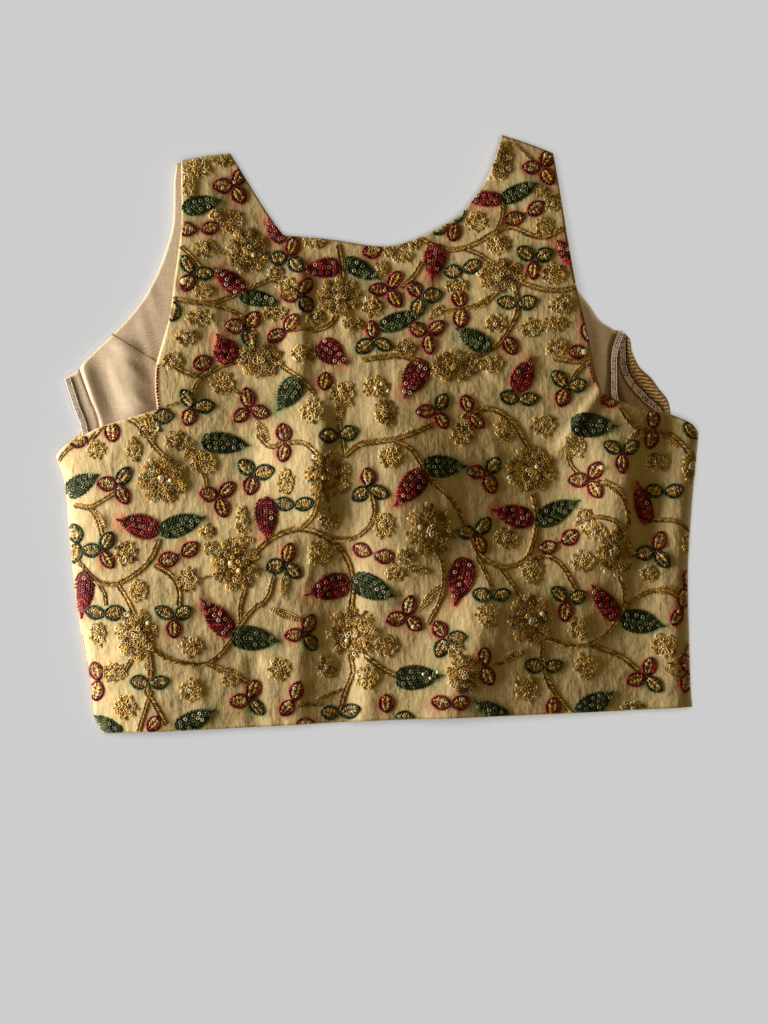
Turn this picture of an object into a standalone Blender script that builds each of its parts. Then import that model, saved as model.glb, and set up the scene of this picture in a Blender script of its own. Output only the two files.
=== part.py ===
"""A sleeveless blouse laid flat on its back, front up, with the inside of its back in the armholes.

Metres and +Z up. X runs across the blouse to a viewer's right, Y from the hem to the neck, and Z = 0
is the surface that the back rests on. The tables below are in millimetres, measured from the middle of
the hem, and the finished part is moved so that the middle of its outline is at X = Y = 0.
"""

import bpy
import numpy as np

MM = 0.001

# Cloth and seams
CLOTH = 1.2
LINING = 1.0
ALLOWANCE = 1.0
SEAM_GAP = 0.3
SERGING_WIDTH = 3.4
BACK_TOP = CLOTH
LAYER_ONE = BACK_TOP + SEAM_GAP
LAYER_TWO = LAYER_ONE + LINING + SEAM_GAP
FRONT_LOWEST = LAYER_TWO + CLOTH

# How high the front lies: the body, the shoulder seams, and the share of it left at the hem
BODY_HEIGHT = 10.6
SHOULDER_HEIGHT = 4.1
HEM_SHARE = 0.76
HEM_REACH = 60.0
LEFT_ROLL = 36.0
RIGHT_ROLL = 50.0
SIDE_TOP = 190.0
SETTLING = 0.5

# Outlines of the front, each a row of (x, y)
HEM = [(-198.5, 1.6), (-190.0, 0.2), (-115.0, 0.0), (-10.0, 0.8), (64.0, 0.2), (138.0, 0.0), (200.0, 0.4)]
LEFT_SIDE = [(-198.5, 1.6), (-203.5, 13.0), (-205.7, 40.0), (-211.7, 86.0), (-214.6, 135.0), (-216.0, 168.0),
             (-221.2, 187.6)]
RIGHT_SIDE = [(200.0, 0.4), (199.5, 18.0), (200.5, 72.0), (201.7, 99.0), (206.2, 139.5), (211.2, 175.0),
              (212.3, 184.5)]
LEFT_UNDERARM = [(-221.2, 187.6), (-214.0, 195.0), (-202.5, 200.5), (-192.0, 205.2), (-174.0, 210.2),
                 (-150.4, 215.5)]
RIGHT_UNDERARM = [(147.5, 214.0), (158.6, 208.3), (175.0, 202.6), (193.9, 197.2), (207.0, 191.0),
                  (212.3, 184.5)]
LEFT_ARMHOLE = [(-150.4, 215.5), (-151.3, 231.0), (-149.8, 246.0), (-144.4, 262.5), (-138.9, 280.5),
                (-135.3, 303.0), (-132.0, 320.0)]
RIGHT_ARMHOLE = [(147.5, 214.0), (143.9, 228.0), (141.2, 247.0), (137.9, 264.0), (133.8, 284.6),
                 (131.0, 305.0), (129.0, 321.0)]
LEFT_STRAP_OUT = [(-132.0, 320.0), (-128.9, 342.0), (-128.0, 368.0), (-127.4, 382.6)]
LEFT_STRAP_IN = [(-61.0, 329.6), (-67.0, 338.0), (-75.2, 351.3), (-85.5, 370.0), (-94.6, 386.3)]
RIGHT_STRAP_IN = [(47.0, 331.6), (59.5, 339.6), (72.8, 355.0), (81.5, 370.0), (88.7, 390.6)]
RIGHT_STRAP_OUT = [(129.0, 321.0), (126.2, 346.0), (124.3, 362.0), (122.4, 376.4)]
LEFT_SHOULDER = [(-127.4, 382.6), (-111.5, 385.0), (-94.6, 386.3)]
RIGHT_SHOULDER = [(88.7, 390.6), (106.0, 384.0), (122.4, 376.4)]
NECK_FRONT = [(-61.0, 329.6), (-30.0, 325.6), (-2.0, 320.0), (14.0, 319.8), (31.0, 324.6), (47.0, 331.6)]
LEFT_STRAP_BASE = [(-132.0, 320.0), (-96.0, 323.5), (-61.0, 329.6)]
RIGHT_STRAP_BASE = [(47.0, 331.6), (88.0, 324.5), (129.0, 321.0)]

# Outline of the back where the armholes uncover it, and its hidden neckline, each a row of (x, y)
BACK_LEFT_ARMHOLE = [(-221.2, 187.6), (-216.4, 196.4), (-208.4, 209.4), (-210.4, 227.0), (-212.6, 240.2),
                     (-202.6, 246.2), (-197.8, 252.6), (-174.3, 273.3), (-159.4, 289.5), (-149.2, 306.0),
                     (-141.0, 324.5), (-135.6, 342.5), (-133.4, 370.8), (-131.0, 381.6)]
BACK_RIGHT_ARMHOLE = [(212.3, 184.5), (206.0, 191.0), (194.8, 197.0), (194.2, 201.0), (192.4, 208.3),
                      (187.3, 215.3), (182.2, 223.0), (174.7, 230.7), (170.0, 241.8), (169.2, 249.2),
                      (164.4, 255.2), (159.4, 256.0), (149.8, 262.6), (143.2, 272.7), (132.6, 289.4),
                      (128.6, 306.0), (124.6, 346.0), (121.2, 375.0)]
BACK_NECK = [(-95.6, 384.4), (-86.5, 366.0), (-70.0, 337.0), (-62.0, 326.0), (-30.0, 320.6), (12.0, 315.4),
             (40.0, 322.0), (62.0, 336.0), (76.0, 356.0), (85.2, 374.0), (90.2, 388.0)]

# Edges of the pieces that lie on the back, each a row of (x, y), from the armhole to the hem
LINING_LEFT_EDGE = [(-202.4, 246.0), (-196.4, 227.0), (-190.6, 207.0), (-192.0, 170.0), (-188.0, 100.0),
                    (-181.0, 40.0), (-176.0, 12.0)]
LINING_RIGHT_EDGE = [(161.6, 254.6), (158.4, 246.0), (156.0, 237.6), (155.4, 225.0), (156.0, 207.0),
                     (162.0, 190.0), (164.0, 150.0), (162.0, 90.0), (160.0, 12.0)]
LEFT_OVERLOCK = [(-212.4, 240.0), (-207.2, 221.0), (-202.2, 203.0), (-203.2, 170.0), (-199.2, 100.0),
                 (-192.2, 40.0), (-187.4, 12.0)]
BACK_OVERLOCK = [(163.0, 254.2), (159.5, 246.3), (157.4, 237.6), (156.8, 225.0), (156.9, 210.0),
                 (162.8, 192.0), (166.0, 150.0), (164.0, 90.0), (162.0, 14.0)]
FRONT_OVERLOCK_LEFT = [(162.2, 253.6), (160.2, 243.0), (158.6, 233.0), (158.4, 222.0), (160.4, 207.0),
                       (165.6, 190.0), (167.6, 150.0), (165.6, 90.0), (163.6, 14.0)]
FRONT_OVERLOCK_RIGHT = [(166.0, 252.6), (165.3, 240.0), (166.3, 229.0), (171.1, 219.6), (180.2, 208.8),
                        (189.6, 196.0), (192.0, 150.0), (186.0, 90.0), (181.0, 14.0)]
RIBBED_RIGHT = [(168.8, 250.0), (169.7, 241.6), (174.3, 230.7), (181.8, 222.8), (186.9, 215.2), (192.0, 208.1),
                (193.9, 199.0), (197.4, 186.0)]

# Broad rises and hollows of the front. Columns: x, y, reach left, right, down and up, and rise
HOLLOWS = [
    (110.0, 150.0, 90.0, 48.0, 68.0, 72.0, -6.6),
    (-102.0, 180.0, 60.0, 28.0, 42.0, 40.0, -3.8),
    (-8.0, 296.0, 112.0, 112.0, 62.0, 62.0, -3.4),
    (146.0, 48.0, 76.0, 44.0, 46.0, 40.0, -2.4),
    (-204.0, 203.0, 30.0, 34.0, 26.0, 26.0, -3.0),
    (194.0, 197.0, 40.0, 34.0, 26.0, 26.0, -2.6),
    (-12.0, 168.0, 60.0, 56.0, 70.0, 60.0, 1.6),
]

# Folds of the front. Columns: start x, y, end x, y, width left and right of the line, and rise
FOLDS = [
    (-28.0, 138.0, -46.0, -20.0, 42.0, 32.0, -3.2),
    (64.0, 92.0, 22.0, -20.0, 34.0, 40.0, 3.4),
    (-51.0, 322.0, -54.0, 214.0, 16.0, 9.0, 1.9),
    (-66.0, 214.0, -78.0, 126.0, 20.0, 18.0, 1.9),
    (108.0, 168.0, 150.0, 220.0, 9.0, 11.0, 1.8),
    (-72.0, 88.0, -79.0, -20.0, 11.0, 15.0, 1.7),
    (-92.0, 62.0, -94.0, -20.0, 10.0, 10.0, -1.3),
    (-15.0, 84.0, -24.0, -20.0, 12.0, 13.0, 1.3),
]

# Folds of the lining in the armholes, with the same columns
LINING_FOLDS = [
    (-201.0, 250.0, -188.0, 200.0, 5.0, 9.0, 1.5),
    (-168.0, 268.0, -158.0, 200.0, 12.0, 14.0, 1.4),
    (-181.0, 268.0, -148.0, 247.0, 6.0, 6.0, 0.7),
    (149.0, 266.0, 147.0, 220.0, 6.0, 5.0, 0.9),
]

# How finely each piece is divided, in cells
UNDERARM_CELLS = 8
STRAP_CELLS = 8
NECK_CELLS = 11
BODY_ROWS = 22
CHEST_ROWS = 11
STRAP_ROWS = 6
LINING_STEP = 13.0
ALLOWANCE_ROWS = 26
RIBS = 22
RIB_RISE = 0.45
RIBBED_GAP = 0.7
RIBBED_FOOT = 186.0

COLOURS = {
    "front": (0.62, 0.52, 0.31, 1.0),
    "back": (0.60, 0.50, 0.30, 1.0),
    "back_lining": (0.72, 0.60, 0.46, 1.0),
    "left_side_allowance": (0.70, 0.62, 0.52, 1.0),
    "right_back_allowance": (0.62, 0.56, 0.58, 1.0),
    "right_front_allowance": (0.42, 0.30, 0.17, 1.0),
    "right_ribbed_edge": (0.50, 0.34, 0.12, 1.0),
}


def clear_scene():
    for old in list(bpy.data.objects):
        bpy.data.objects.remove(old, do_unlink=True)


def cloth_material(name):
    material = bpy.data.materials.new(name + "_cloth")
    material.use_nodes = True
    shader = material.node_tree.nodes["Principled BSDF"]
    shader.inputs["Base Color"].default_value = COLOURS[name]
    shader.inputs["Roughness"].default_value = 0.7
    shader.inputs["Metallic"].default_value = 0.0
    return material


def smooth_curve(points, steps=14):
    """Close points on a smooth curve through the given ones."""
    known = np.array(points, float)
    ends = np.vstack([2 * known[0] - known[1], known, 2 * known[-1] - known[-2]])
    t = np.linspace(0, 1, steps, endpoint=False)[:, None]
    pieces = []
    for a, b, c, d in zip(ends, ends[1:], ends[2:], ends[3:]):
        bend = 2 * a - 5 * b + 4 * c - d
        twist = 3 * b - a - 3 * c + d
        pieces.append(0.5 * (2 * b + (c - a) * t + bend * t**2 + twist * t**3))
    return np.vstack(pieces + [known[-1:]])


def along(points, shares):
    """Points at the given shares of the length of a smooth curve."""
    curve = smooth_curve(points)
    length = np.concatenate([[0], np.cumsum(np.linalg.norm(np.diff(curve, axis=0), axis=1))])
    at = np.asarray(shares) * length[-1]
    return np.stack([np.interp(at, length, curve[:, k]) for k in (0, 1)], axis=1)


def even(cells):
    return np.linspace(0, 1, cells + 1)


def patch(bottom, top, left, right, u, v):
    """A grid of points between four edges, each given at the shares u across or v upwards."""
    u, v = u[None, :, None], v[:, None, None]
    sides = (1 - u) * left[:, None] + u * right[:, None]
    ends = (1 - v) * bottom[None] + v * top[None]
    low = (1 - u) * bottom[0] + u * bottom[-1]
    high = (1 - u) * top[0] + u * top[-1]
    return sides + ends - (1 - v) * low - v * high


def front_grids():
    """The front in four patches that share their edges: body, chest and two straps."""
    near_side = even(UNDERARM_CELLS) ** 1.35
    left_underarm = along(LEFT_UNDERARM, near_side)
    right_underarm = along(RIGHT_UNDERARM, 1 - near_side[::-1])
    chest = np.concatenate([
        along(LEFT_STRAP_BASE, even(STRAP_CELLS)),
        along(NECK_FRONT, even(NECK_CELLS))[1:],
        along(RIGHT_STRAP_BASE, even(STRAP_CELLS))[1:],
    ])
    across = (chest[:, 0] - chest[0, 0]) / (chest[-1, 0] - chest[0, 0])
    chest_line = along([LEFT_ARMHOLE[0], RIGHT_ARMHOLE[0]], across)
    top = np.concatenate([left_underarm, chest_line[1:-1], right_underarm])
    spread = (top[:, 0] - top[0, 0]) / (top[-1, 0] - top[0, 0])
    rows, chest_rows, strap_rows = even(BODY_ROWS), even(CHEST_ROWS), even(STRAP_ROWS)
    body = patch(along(HEM, spread), top, along(LEFT_SIDE, rows), along(RIGHT_SIDE, rows), spread, rows)
    chest_part = patch(chest_line, chest, along(LEFT_ARMHOLE, chest_rows), along(RIGHT_ARMHOLE, chest_rows),
                       across, chest_rows)
    straps = even(STRAP_CELLS)
    left_strap = patch(along(LEFT_STRAP_BASE, straps), along(LEFT_SHOULDER, straps),
                       along(LEFT_STRAP_OUT, strap_rows), along(LEFT_STRAP_IN, strap_rows), straps, strap_rows)
    right_strap = patch(along(RIGHT_STRAP_BASE, straps), along(RIGHT_SHOULDER, straps),
                        along(RIGHT_STRAP_IN, strap_rows), along(RIGHT_STRAP_OUT, strap_rows), straps,
                        strap_rows)
    return [body, chest_part, left_strap, right_strap]


def ease(share):
    """0 to 1 with level ends."""
    share = np.clip(share, 0, 1)
    return share * share * (3 - 2 * share)


def hollow(x, y, row):
    """One broad rise or hollow, with its own reach on each side."""
    centre_x, centre_y, left, right, down, up, rise = row
    across = (x - centre_x) / np.where(x < centre_x, left, right)
    upwards = (y - centre_y) / np.where(y < centre_y, down, up)
    return rise * ease(1 - np.sqrt(across**2 + upwards**2))


def fold(x, y, row):
    """One fold along a line, which fades out over its ends."""
    start_x, start_y, end_x, end_y, left, right, rise = row
    length = np.hypot(end_x - start_x, end_y - start_y)
    along_x, along_y = (end_x - start_x) / length, (end_y - start_y) / length
    reached = (x - start_x) * along_x + (y - start_y) * along_y
    aside = (x - start_x) * along_y - (y - start_y) * along_x
    aside = aside if along_y > 0 else -aside
    width = np.where(aside < 0, left, right)
    end = min(24.0, 0.4 * length)
    fade = ease(reached / end) * ease((length - reached) / end)
    return rise * fade * ease(1 - np.abs(aside) / width)


def side_x(side, y):
    curve = smooth_curve(side)
    return np.interp(y, curve[:, 1], curve[:, 0])


def rolled(distance, reach):
    """Height share of cloth that rolls up from its seam, as a quarter of an ellipse."""
    share = np.clip(distance / reach, 0, 1)
    return np.sqrt(np.clip(1 - (1 - share) ** 2, 0, 1))


def front_height(x, y):
    """Height of the front's outer face over the surface, in millimetres."""
    level = np.minimum(y, SIDE_TOP)
    roll = rolled(x - side_x(LEFT_SIDE, level), LEFT_ROLL) * rolled(side_x(RIGHT_SIDE, level) - x, RIGHT_ROLL)
    body = BODY_HEIGHT + (SHOULDER_HEIGHT - BODY_HEIGHT) * ease((y - 215.0) / 165.0)
    lift = body - LAYER_ONE
    for row in HOLLOWS:
        lift = lift + hollow(x, y, row)
    for row in FOLDS:
        lift = lift + fold(x, y, row)
    lift = lift * (HEM_SHARE + (1 - HEM_SHARE) * ease(y / HEM_REACH))
    lowest = FRONT_LOWEST - LAYER_ONE
    spare = lift - lowest
    lift = lowest + 0.5 * (spare + np.sqrt(spare**2 + SETTLING**2))
    return LAYER_ONE + roll * lift


def lining_height(x, y):
    """Height of the lining's outer face over the surface, in millimetres."""
    lift = 0.0 * x
    for row in LINING_FOLDS:
        lift = lift + fold(x, y, row)
    return LAYER_ONE + LINING + np.maximum(lift, 0.0)


def two_faces(height, thickness, plan):
    """Outer and inner points of a wall of even thickness under a height over plan points."""
    x, y = plan[:, 0], plan[:, 1]
    near = 0.05
    z = height(x, y)
    slope_x = (height(x + near, y) - height(x - near, y)) / (2 * near)
    slope_y = (height(x, y + near) - height(x, y - near)) / (2 * near)
    normal = np.stack([-slope_x, -slope_y, np.ones_like(x)], axis=1)
    normal = normal / np.linalg.norm(normal, axis=1)[:, None]
    outer = np.column_stack([x, y, z])
    inner = outer - thickness * normal
    inner[:, 2] = np.maximum(inner[:, 2], LAYER_ONE)
    return outer, inner


def wall(name, grids, faces_of):
    """One closed wall over grids of plan points that share their edges."""
    index, plan, quads = {}, [], []
    for grid in grids:
        ids = np.empty(grid.shape[:2], int)
        for place in np.ndindex(*ids.shape):
            key = tuple(np.round(grid[place] * 50).astype(int))
            if key not in index:
                index[key] = len(plan)
                plan.append(grid[place])
            ids[place] = index[key]
        corners = np.stack([ids[:-1, :-1], ids[:-1, 1:], ids[1:, 1:], ids[1:, :-1]], axis=-1)
        quads += [tuple(int(i) for i in quad) for quad in corners.reshape(-1, 4)]
    outer, inner = faces_of(np.array(plan))
    count = len(plan)
    edges = {(a, b) for quad in quads for a, b in zip(quad, quad[1:] + quad[:1])}
    rim = [(b, a, a + count, b + count) for a, b in edges if (b, a) not in edges]
    inside = [tuple(i + count for i in reversed(quad)) for quad in quads]
    return solid(name, np.vstack([outer, inner]), quads + inside + sorted(rim))


def outline_middle():
    """The middle of the whole outline, which becomes X = Y = 0."""
    edges = [LEFT_SIDE, RIGHT_SIDE, RIGHT_SHOULDER, HEM, BACK_LEFT_ARMHOLE, LEFT_UNDERARM]
    points = np.vstack([smooth_curve(edge) for edge in edges])
    return (points.min(axis=0) + points.max(axis=0)) / 2


def solid(name, points, faces):
    middle = np.append(outline_middle(), 0.0)
    mesh = bpy.data.meshes.new(name)
    mesh.from_pydata(((points - middle) * MM).tolist(), [], faces)
    mesh.validate()
    mesh.update()
    mesh.materials.append(cloth_material(name))
    made = bpy.data.objects.new(name, mesh)
    bpy.context.scene.collection.objects.link(made)
    return made


def plate(name, outline, bottom, top):
    """A flat plate of cloth with the given outline, anticlockwise from above."""
    count = len(outline)
    low = np.column_stack([outline, np.full(count, bottom)])
    high = np.column_stack([outline, np.full(count, top)])
    faces = [tuple(range(count - 1, -1, -1)), tuple(range(count, 2 * count))]
    for here in range(count):
        after = (here + 1) % count
        faces.append((here, after, after + count, here + count))
    return solid(name, np.vstack([low, high]), faces)


def sampled(points, step):
    """Points about one step apart along a smooth curve."""
    curve = smooth_curve(points)
    length = np.linalg.norm(np.diff(curve, axis=0), axis=1).sum()
    return along(points, even(max(1, int(round(length / step)))))


def front():
    return wall("front", front_grids(), lambda plan: two_faces(front_height, CLOTH, plan))


def back():
    """The back panel, flat on the surface, out to the side seams."""
    step = 12.0
    edges = [
        sampled(HEM, 3 * step),
        sampled(RIGHT_SIDE, step),
        sampled(BACK_RIGHT_ARMHOLE, 0.6 * step),
        sampled(BACK_NECK, step)[::-1],
        sampled(BACK_LEFT_ARMHOLE, 0.6 * step)[::-1],
        sampled(LEFT_SIDE, step)[::-1],
    ]
    outline = []
    for edge in edges:
        for point in edge:
            if all(np.linalg.norm(point - other) > 0.5 for other in outline):
                outline.append(point)
    return plate("back", np.array(outline), 0.0, BACK_TOP)


def curve_x(points, y):
    """X where a curve that climbs crosses the height y."""
    curve = smooth_curve(points)
    curve = curve[np.argsort(curve[:, 1])]
    return np.interp(y, curve[:, 1], curve[:, 0])


def lining_grids():
    """The lining in rows across the body, and in shorter rows up each strap."""
    hem_y, neck_y = 12.0, 312.0
    strap_tops = {"left": 380.0, "right": 373.0}
    rows = np.unique(np.concatenate([
        np.linspace(hem_y, 196.0, 13),
        np.linspace(196.0, 262.0, 10),
        np.linspace(262.0, neck_y, 6),
    ]))
    left_top, right_top = LINING_LEFT_EDGE[0][1], LINING_RIGHT_EDGE[0][1]

    def left_x(y):
        return curve_x(LINING_LEFT_EDGE, y) if y < left_top else curve_x(BACK_LEFT_ARMHOLE[5:], y) + 0.4

    def right_x(y):
        return curve_x(LINING_RIGHT_EDGE, y) if y < right_top else curve_x(BACK_RIGHT_ARMHOLE[11:], y) - 0.4

    cells = int((right_x(100.0) - left_x(100.0)) / LINING_STEP)
    across = even(cells)
    body = np.array([[(left_x(y) + (right_x(y) - left_x(y)) * u, y) for u in across] for y in rows])
    neck_left, neck_right = -66.0, 46.0
    last = body[-1, :, 0]
    left_count = int(np.argmin(np.abs(last - neck_left)))
    right_count = int(np.argmin(np.abs(last - neck_right)))
    left_neck = BACK_NECK[:4]
    right_neck = BACK_NECK[7:]
    straps = []
    for name, first, final in (("left", 0, left_count), ("right", right_count, cells)):
        levels = np.linspace(neck_y, strap_tops[name], 7)
        base = last[first:final + 1]
        share = (base - base[0]) / (base[-1] - base[0])
        grid = [np.column_stack([base, np.full(len(base), neck_y)])]
        for y in levels[1:]:
            if name == "left":
                start, end = left_x(y), curve_x(left_neck, y) - 1.0
            else:
                start, end = curve_x(right_neck, y) + 1.0, right_x(y)
            grid.append(np.column_stack([start + (end - start) * share, np.full(len(base), y)]))
        straps.append(np.array(grid))
    return [body] + straps


def back_lining():
    return wall("back_lining", lining_grids(), lambda plan: two_faces(lining_height, LINING, plan))


def strip(name, left, right, base, columns, rows, ripple=None):
    """A strip between two edges. Columns are pairs: share of the width, and height over the base."""
    upwards = even(rows)
    start, end = along(left, upwards), along(right, upwards)
    shares = np.array([share for share, _ in columns])
    heights = np.array([height for _, height in columns])
    plan = start[:, None] + (end - start)[:, None] * shares[None, :, None]
    top = np.broadcast_to(base + heights, plan.shape[:2]).copy()
    if ripple is not None:
        top = top + ripple(np.arange(rows + 1))[:, None]
    grid = plan[::-1]
    tops = {tuple(np.round(p * 50).astype(int)): z
            for p, z in zip(grid.reshape(-1, 2), top[::-1].reshape(-1))}

    def faces_of(points):
        z = np.array([tops[tuple(np.round(p * 50).astype(int))] for p in points])
        return np.column_stack([points, z]), np.column_stack([points, np.full(len(points), base)])

    return wall(name, [grid], faces_of)


def left_side_allowance():
    """The allowance beside the lining, with its overlocked edge outside."""
    gap = 0.35
    inner = [(x - gap, y) for x, y in LINING_LEFT_EDGE]
    columns = [(0.0, 1.2), (0.14, 1.5), (0.30, 1.3), (0.38, ALLOWANCE), (1.0, ALLOWANCE)]
    strip("left_side_allowance", LEFT_OVERLOCK, inner, LAYER_ONE, columns, ALLOWANCE_ROWS)


def right_back_allowance():
    """The upright overlocked branch, which lies over the lining's right edge."""
    half = SERGING_WIDTH / 2
    left = [(x - half, y) for x, y in BACK_OVERLOCK]
    right = [(x + half, y) for x, y in BACK_OVERLOCK]
    columns = [(0.0, ALLOWANCE), (0.3, 1.3), (0.7, 1.3), (1.0, ALLOWANCE)]
    strip("right_back_allowance", left, right, LAYER_TWO, columns, ALLOWANCE_ROWS)


def right_front_allowance():
    """The silk's wrong side, with the slanting overlocked branch along its outer edge."""
    columns = [(0.0, ALLOWANCE), (0.55, ALLOWANCE), (0.72, 1.1), (0.88, 1.1), (1.0, ALLOWANCE)]
    strip("right_front_allowance", FRONT_OVERLOCK_LEFT, FRONT_OVERLOCK_RIGHT, LAYER_ONE, columns,
          ALLOWANCE_ROWS)


def beside(points, gap, foot):
    """The part of a falling curve above the height foot, moved to its left hand side by gap."""
    curve = smooth_curve(points, 3)
    way = np.gradient(curve, axis=0)
    way = way / np.linalg.norm(way, axis=1)[:, None]
    moved = curve + gap * np.column_stack([-way[:, 1], way[:, 0]])
    return moved[curve[:, 1] >= foot]


def right_ribbed_edge():
    """The narrow ribbed strip beyond the overlocked branch, with its ribs raised."""
    left = beside(FRONT_OVERLOCK_RIGHT, RIBBED_GAP, RIBBED_FOOT)
    columns = [(0.0, ALLOWANCE), (0.5, ALLOWANCE + 0.2), (1.0, ALLOWANCE)]
    strip("right_ribbed_edge", left, RIBBED_RIGHT, LAYER_ONE, columns, 2 * RIBS,
          lambda row: RIB_RISE * (row % 2))


def build():
    clear_scene()
    back()
    back_lining()
    left_side_allowance()
    right_front_allowance()
    right_back_allowance()
    right_ribbed_edge()
    front()


build()
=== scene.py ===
"""Looks of a sleeveless blouse of embroidered raw silk, laid flat on its back with the front up.

The tables are in millimetres from the middle of the hem: x to a viewer's right and y towards the neck.
The embroidery charts count cells of 0.675 mm to the right and down. Each motif's own shape is made by a
function, and its threads lie on the same heights as the silk.
"""

import math

import bpy
import numpy as np
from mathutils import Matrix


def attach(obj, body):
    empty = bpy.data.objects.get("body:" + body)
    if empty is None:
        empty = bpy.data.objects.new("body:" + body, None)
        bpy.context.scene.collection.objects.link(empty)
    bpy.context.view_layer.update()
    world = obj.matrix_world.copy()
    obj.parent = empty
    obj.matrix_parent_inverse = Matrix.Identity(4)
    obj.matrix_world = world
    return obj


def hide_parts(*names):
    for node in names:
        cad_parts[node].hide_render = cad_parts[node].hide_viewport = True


MM = 0.001

# Cloth and seams
CLOTH = 1.2
LINING = 1.0
SEAM_GAP = 0.3
BACK_TOP = CLOTH
LAYER_ONE = BACK_TOP + SEAM_GAP
LAYER_TWO = LAYER_ONE + LINING + SEAM_GAP
FRONT_LOWEST = LAYER_TWO + CLOTH

# How high the front lies
BODY_HEIGHT = 10.6
SHOULDER_HEIGHT = 4.1
HEM_SHARE = 0.76
HEM_REACH = 60.0
LEFT_ROLL = 46.0
RIGHT_ROLL = 16.0
SIDE_TOP = 190.0
TAPER_START = 215.0
TAPER_LENGTH = 165.0
SETTLING = 0.5

# Outlines of the front, each a row of (x, y)
HEM = [(-198.5, 1.6), (-190, 0.2), (-115, 0), (-10, 0.8), (64, 0.2), (138, 0), (200, 0.4)]
LEFT_SIDE = [(-198.5, 1.6), (-203.5, 13), (-205.7, 40), (-211.7, 86), (-214.6, 135), (-216, 168),
             (-221.2, 187.6)]
RIGHT_SIDE = [(200, 0.4), (199.5, 18), (200.5, 72), (201.7, 99), (206.2, 139.5), (211.2, 175), (212.3, 184.5)]
LEFT_UNDERARM = [(-221.2, 187.6), (-214, 195), (-202.5, 200.5), (-192, 205.2), (-174, 210.2), (-150.4, 215.5)]
RIGHT_UNDERARM = [(147.5, 214), (158.6, 208.3), (175, 202.6), (193.9, 197.2), (207, 191), (212.3, 184.5)]
LEFT_ARMHOLE = [(-150.4, 215.5), (-151.3, 231), (-149.8, 246), (-144.4, 262.5), (-138.9, 280.5),
                (-135.3, 303), (-132, 320)]
RIGHT_ARMHOLE = [(147.5, 214), (143.9, 228), (141.2, 247), (137.9, 264), (133.8, 284.6), (131, 305),
                 (129, 321)]
LEFT_STRAP_OUT = [(-132, 320), (-128.9, 342), (-128, 368), (-127.4, 382.6)]
LEFT_STRAP_IN = [(-61, 329.6), (-67, 338), (-75.2, 351.3), (-85.5, 370), (-94.6, 386.3)]
RIGHT_STRAP_IN = [(47, 331.6), (59.5, 339.6), (72.8, 355), (81.5, 370), (88.7, 390.6)]
RIGHT_STRAP_OUT = [(129, 321), (126.2, 346), (124.3, 362), (122.4, 376.4)]
LEFT_SHOULDER = [(-127.4, 382.6), (-111.5, 385), (-94.6, 386.3)]
RIGHT_SHOULDER = [(88.7, 390.6), (106, 384), (122.4, 376.4)]
NECK_FRONT = [(-61, 329.6), (-30, 325.6), (-2, 320), (14, 319.8), (31, 324.6), (47, 331.6)]
LEFT_STRAP_BASE = [(-132, 320), (-96, 323.5), (-61, 329.6)]
RIGHT_STRAP_BASE = [(47, 331.6), (88, 324.5), (129, 321)]

# Outline of the back where the armholes uncover it, and its hidden neckline
BACK_LEFT_ARMHOLE = [(-221.2, 187.6), (-216.4, 196.4), (-208.4, 209.4), (-210.4, 227), (-212.6, 240.2),
                     (-202.6, 246.2), (-197.8, 252.6), (-174.3, 273.3), (-159.4, 289.5), (-149.2, 306),
                     (-141, 324.5), (-135.6, 342.5), (-133.4, 370.8), (-131, 381.6)]
BACK_RIGHT_ARMHOLE = [(212.3, 184.5), (206, 191), (194.8, 197), (194.2, 201), (192.4, 208.3), (187.3, 215.3),
                      (182.2, 223), (174.7, 230.7), (170, 241.8), (169.2, 249.2), (164.4, 255.2),
                      (159.4, 256), (149.8, 262.6), (143.2, 272.7), (132.6, 289.4), (128.6, 306),
                      (124.6, 346), (121.2, 375)]
BACK_NECK = [(-95.6, 384.4), (-86.5, 366), (-70, 337), (-62, 326), (-30, 320.6), (12, 315.4), (40, 322),
             (62, 336), (76, 356), (85.2, 374), (90.2, 388)]

# Edges of the pieces that lie on the back, from the armhole to the hem
LINING_LEFT_EDGE = [(-202.4, 246), (-196.4, 227), (-190.6, 207), (-192, 170), (-188, 100), (-181, 40),
                    (-176, 12)]
LINING_RIGHT_EDGE = [(161.6, 254.6), (158.4, 246), (156, 237.6), (155.4, 225), (156, 207), (162, 190),
                     (164, 150), (162, 90), (160, 12)]
LEFT_OVERLOCK = [(-212.4, 240), (-207.2, 221), (-202.2, 203), (-203.2, 170), (-199.2, 100), (-192.2, 40),
                 (-187.4, 12)]
BACK_OVERLOCK = [(163, 254.2), (159.5, 246.3), (157.4, 237.6), (156.8, 225), (156.9, 210), (162.8, 192),
                 (166, 150), (164, 90), (162, 14)]
FRONT_OVERLOCK_LEFT = [(162.2, 253.6), (160.2, 243), (158.6, 233), (158.4, 222), (160.4, 207), (165.6, 190),
                       (167.6, 150), (165.6, 90), (163.6, 14)]
FRONT_OVERLOCK_RIGHT = [(166, 252.6), (165.3, 240), (166.3, 229), (171.1, 219.6), (180.2, 208.8),
                        (189.6, 196), (192, 150), (186, 90), (181, 14)]
RIBBED_RIGHT = [(168.8, 250), (169.7, 241.6), (174.3, 230.7), (181.8, 222.8), (186.9, 215.2), (192, 208.1),
                (193.9, 199), (197.4, 186)]

# The charts count cells from this corner, and the cloth lies a little turned to them
CHART_CELL = 0.675
CHART_ZERO = (396.0, 720.0)
CHART_TURN = math.radians(2.55)

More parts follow.
